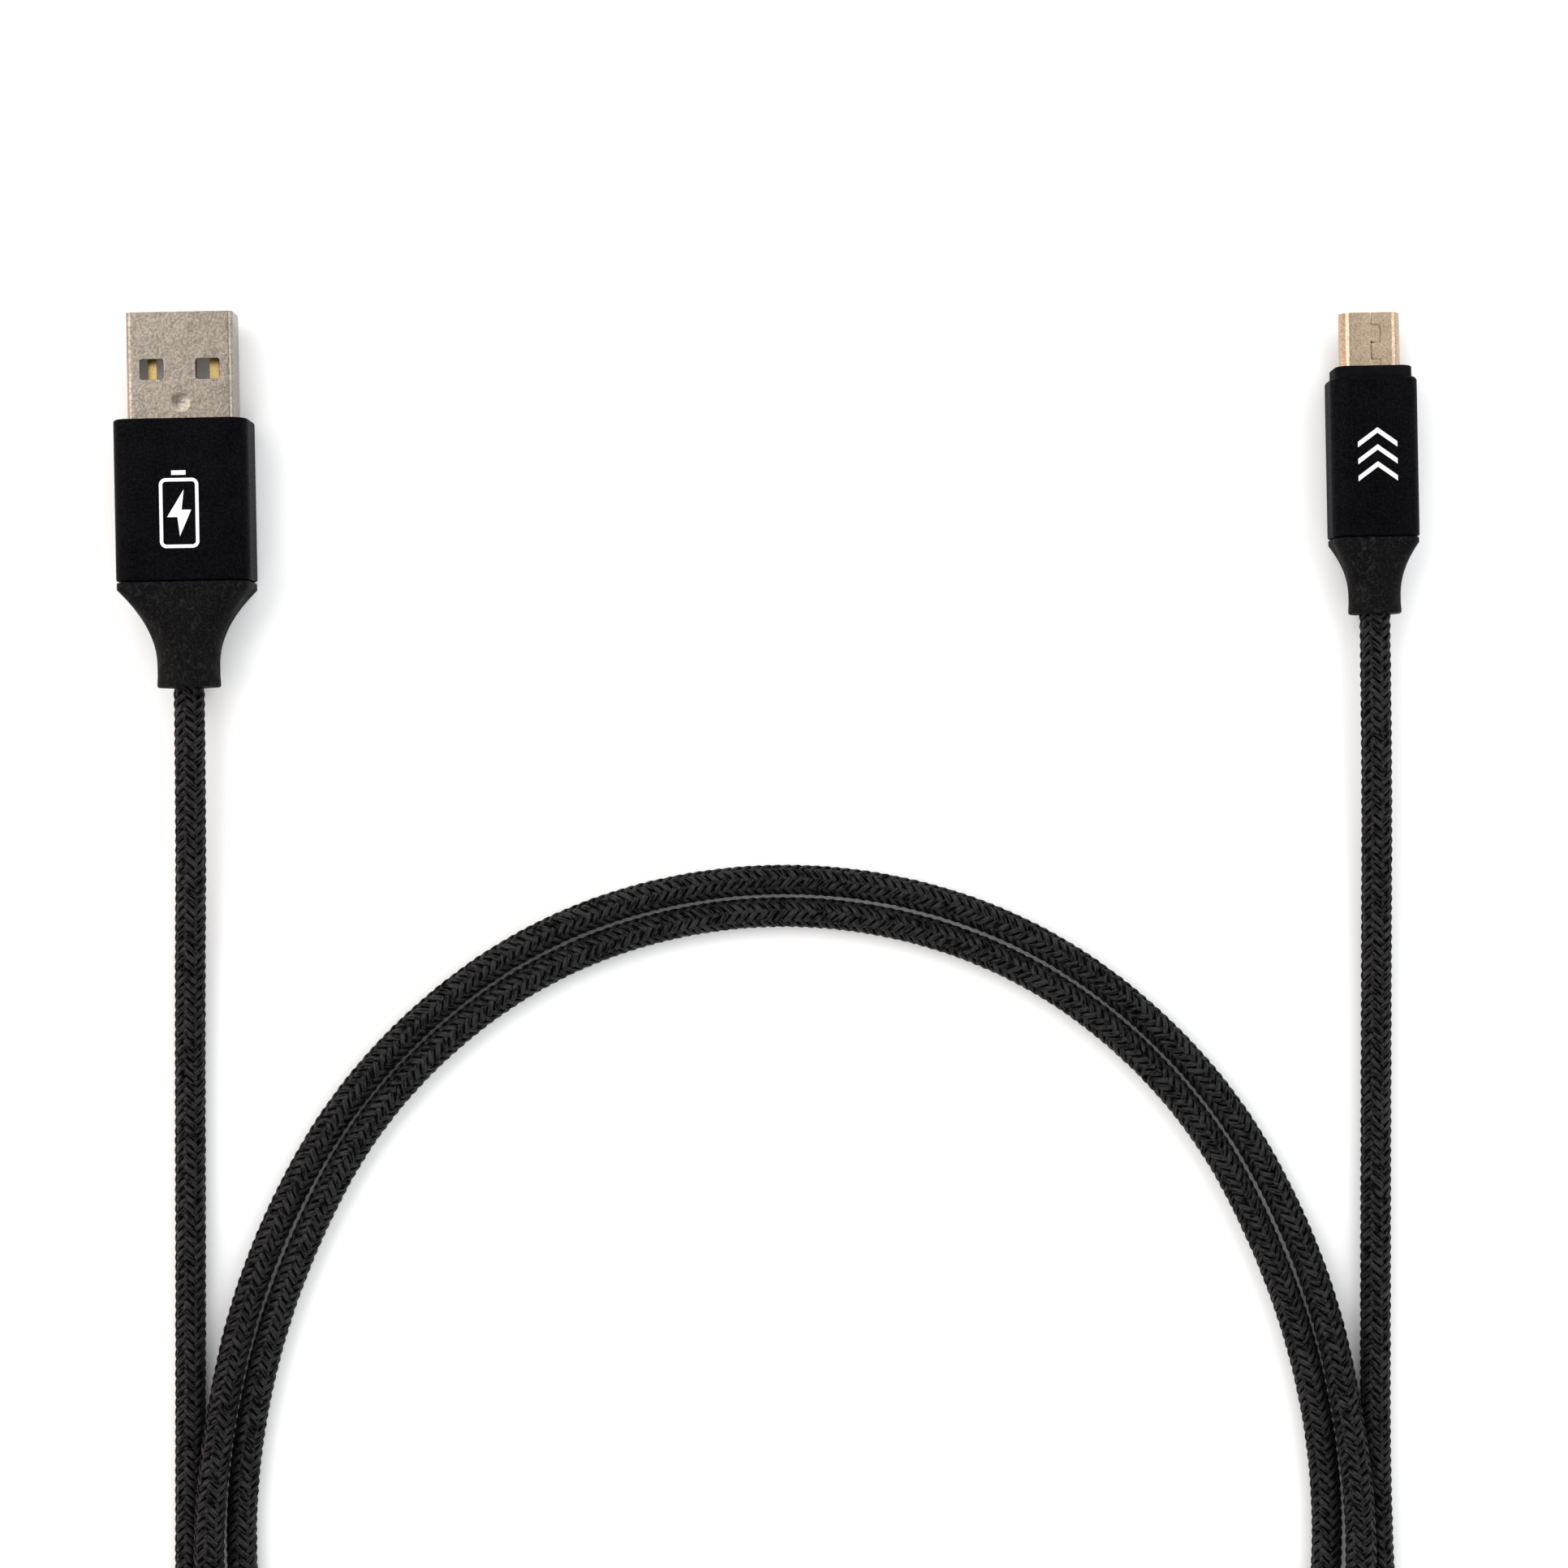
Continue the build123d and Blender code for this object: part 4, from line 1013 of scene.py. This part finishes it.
class CABLE_OT_strain_reliefs(Operator):
    """The two flared rubber strain reliefs"""

    bl_idname = "cable.strain_reliefs"
    bl_label = "Strain reliefs"

    def execute(self, context):
        rubber = soft_rubber("soft_rubber", context.scene.cable_device.relief_colour)
        bore = context.scene.cable_cord.diameter / 2 + CORD_CLEARANCE
        for name, node, x, z, low, high, end, neck, rim, flare, cavity in (
            (
                "host_relief_flared", "host_strain_relief", HOST_X, HOST_Z, RELIEF_LOW, RELIEF_HIGH,
                HOUSING_LOW.y - 0.15 * MM, 3.475 * MM, 0.8 * MM, 8.4 * MM,
                (6.6 * MM, 3.05 * MM, 1.1 * MM),
            ),
            (
                "device_relief_flared", "device_strain_relief", DEVICE_X, DEVICE_Z,
                SMALL_RELIEF_LOW, SMALL_RELIEF_HIGH, SMALL_LOW.y - 0.1 * MM, 2.9 * MM, 0.6 * MM,
                5.8 * MM, (4.05 * MM, 2.65 * MM, 1.3 * MM),
            ),
        ):
            rings = relief_rings(low, high, end, neck, rim, flare, cavity, bore)
            relief = ringed_sleeve(name, x, z, rings)
            dress(relief, rubber, "strain_relief_rubber", node)
        return {"FINISHED"}


def flat_mark(name, outline, top, material):
    """A flat mark of one outline, let into the surface and a hair proud of it."""
    bpy.ops.object.select_all(action="DESELECT")
    bpy.ops.mesh.primitive_circle_add(vertices=len(outline), radius=MM, fill_type="NGON")
    piece = settled(name)
    bpy.ops.object.mode_set(mode="EDIT")
    mesh = bmesh.from_edit_mesh(piece.data)
    ordered = sorted(mesh.verts, key=lambda v: math.atan2(v.co.y, v.co.x))
    for vertex, (x, y) in zip(ordered, outline):
        vertex.co = (x, y, top - MARK_SUNK)
    bmesh.update_edit_mesh(piece.data)
    bpy.ops.mesh.select_all(action="SELECT")
    thickness = MARK_SUNK + MARK_PROUD
    bpy.ops.mesh.extrude_region_move(TRANSFORM_OT_translate={"value": (0, 0, thickness)})
    tidy_up(30)
    dress(piece, material, "housing_aluminium")


def frame_mark(name, centre, half_x, half_y, corner, line, top, material):
    """A flat mark in the shape of a rounded frame."""
    piece = block(
        name, (centre[0] - half_x, centre[1] - half_y, top - MARK_SUNK),
        (centre[0] + half_x, centre[1] + half_y, top + MARK_PROUD),
    )
    bpy.ops.object.mode_set(mode="EDIT")
    round_edges(piece, runs_along(2), corner, 8)
    bpy.ops.object.mode_set(mode="OBJECT")
    hole = rounded_cutter(
        (centre[0] - half_x + line, centre[1] - half_y + line, top - MM),
        (centre[0] + half_x - line, centre[1] + half_y - line, top + MM), corner - line, 2,
    )
    cut(piece, hole)
    make_active(piece)
    bpy.ops.object.mode_set(mode="EDIT")
    tidy_up(30)
    dress(piece, material, "housing_aluminium")


class CABLE_OT_marks(Operator):
    """Plain etched marks: a battery with a bolt on the host plug, chevrons on the device plug"""

    bl_idname = "cable.marks"
    bl_label = "Etched marks"

    def execute(self, context):
        silver = grained_plastic(
            "etched_silver", context.scene.cable_device.mark_colour, 0.5, 0.004 * MM, 12000, 0.93,
        )
        x, y, top = HOST_X, (HOUSING_LOW.y + HOUSING_HIGH.y) / 2 - 1.6 * MM, HOUSING_HIGH.z
        frame_mark("host_mark_case", (x, y), 2.2 * MM, 3.9 * MM, 0.75 * MM, 0.38 * MM, top, silver)
        cap = [(-0.8, 4.25), (0.8, 4.25), (0.8, 4.75), (-0.8, 4.75)]
        flat_mark("host_mark_cap", [(x + a * MM, y + b * MM) for a, b in cap], top, silver)
        bolt = [
            (0.05, -2.6), (1.35, 0.35), (0.28, 0.35), (0.55, 2.6), (-1.35, -0.45), (-0.2, -0.45),
        ]
        flat_mark("host_mark_bolt", [(x + a * MM, y + b * MM) for a, b in bolt], top, silver)
        x, y, top = DEVICE_X, (SMALL_LOW.y + SMALL_HIGH.y) / 2 + 0.2 * MM, SMALL_HIGH.z
        for number in range(3):
            base = (number - 1) * 1.9
            chevron = [
                (-2.2, base - 1.15), (0, base + 0.45), (2.2, base - 1.15), (2.2, base - 0.55),
                (0, base + 1.05), (-2.2, base - 0.55),
            ]
            outline = [(x + a * MM, y + b * MM) for a, b in chevron]
            flat_mark(f"device_mark_{number + 1}", outline, top, silver)
        return {"FINISHED"}


class CABLE_OT_finishes(Operator):
    """Finishes of the pieces that keep their own shape: contacts, springs, insulators, wiring"""

    bl_idname = "cable.finishes"
    bl_label = "Finishes"

    def execute(self, context):
        finishes = {
            "contact_gold": drawn_metal("contact_gold", (0.60, 0.42, 0.17), 0.24),
            "spring_steel": drawn_metal("spring_steel", (0.58, 0.57, 0.55), 0.28),
            "can_steel": drawn_metal("can_steel", (0.62, 0.61, 0.58), 0.34),
            "crimp_brass": drawn_metal("crimp_brass", (0.78, 0.60, 0.30), 0.3, (12, 1, 1)),
            "copper": drawn_metal("bare_copper", (0.88, 0.44, 0.28), 0.3),
            "solder": plated_metal("tin_solder", (0.72, 0.72, 0.70), 0.01 * MM, 1500),
            "shield_braid": drawn_metal("shield_braid", (0.66, 0.64, 0.60), 0.42, (9, 9, 1)),
            "host_insulator_plastic": grained_plastic(
                "host_insulator_white", (0.40, 0.38, 0.355), 0.45,
            ),
            "device_insulator_plastic": grained_plastic(
                "device_insulator_black", (0.02, 0.02, 0.02), 0.45,
            ),
            "mould_plastic": grained_plastic(
                "mould_black", (0.0022, 0.0022, 0.0023), 0.6, 0.03 * MM, 3600, 2.6, shine=0.06,
            ),
            "jacket_plastic": grained_plastic("jacket_black", (0.02, 0.02, 0.022), 0.5),
            "wire_red": grained_plastic("wire_red", (0.42, 0.02, 0.02), 0.4),
            "wire_white": grained_plastic("wire_white", (0.62, 0.61, 0.58), 0.4),
            "wire_green": grained_plastic("wire_green", (0.03, 0.26, 0.07), 0.4),
            "wire_black": grained_plastic("wire_black", (0.015, 0.015, 0.016), 0.4),
        }
        slots = {part["node"]: part["material_slot"] for part in frame["record"]["subparts"]}
        for name, node in frame["nodes"].items():
            if slots.get(name) in finishes:
                assign(node, finishes[slots[name]])
        return {"FINISHED"}


class CABLE_PT_charging_cable(Panel):
    """Lists the operators that build the cable's pieces, each with its settings"""

    bl_idname = "CABLE_PT_charging_cable"
    bl_label = "Charging cable"
    bl_space_type = "VIEW_3D"
    bl_region_type = "UI"
    bl_category = "Charging cable"

    def draw(self, context):
        scene = context.scene
        groups = (
            (scene.cable_stage, (CABLE_OT_stage,)),
            (scene.cable_cord, (CABLE_OT_cord,)),
            (scene.cable_host, (CABLE_OT_host_shell, CABLE_OT_housings, CABLE_OT_marks)),
            (
                scene.cable_device,
                (CABLE_OT_device_shell, CABLE_OT_strain_reliefs, CABLE_OT_finishes),
            ),
        )
        for settings, operators in groups:
            box = self.layout.box()
            for name in settings.__annotations__:
                box.prop(settings, name)
            for operator in operators:
                box.operator(operator.bl_idname)


def main():
    register()
    bpy.ops.cable.stage()
    bpy.ops.cable.cord()
    bpy.ops.cable.host_shell()
    bpy.ops.cable.device_shell()
    bpy.ops.cable.housings()
    bpy.ops.cable.strain_reliefs()
    bpy.ops.cable.marks()
    bpy.ops.cable.finishes()


CLASSES = (
    CableCordSettings, CableHostSettings, CableDeviceSettings, CableStageSettings,
    CABLE_OT_stage, CABLE_OT_cord, CABLE_OT_host_shell, CABLE_OT_device_shell,
    CABLE_OT_housings, CABLE_OT_strain_reliefs, CABLE_OT_marks, CABLE_OT_finishes,
    CABLE_PT_charging_cable,
)


def register():
    for cls in CLASSES:
        bpy.utils.register_class(cls)
    bpy.types.Scene.cable_cord = PointerProperty(type=CableCordSettings)
    bpy.types.Scene.cable_host = PointerProperty(type=CableHostSettings)
    bpy.types.Scene.cable_device = PointerProperty(type=CableDeviceSettings)
    bpy.types.Scene.cable_stage = PointerProperty(type=CableStageSettings)


def unregister():
    del bpy.types.Scene.cable_stage
    del bpy.types.Scene.cable_device
    del bpy.types.Scene.cable_host
    del bpy.types.Scene.cable_cord
    for cls in reversed(CLASSES):
        bpy.utils.unregister_class(cls)


if __name__ == "__main__":
    main()
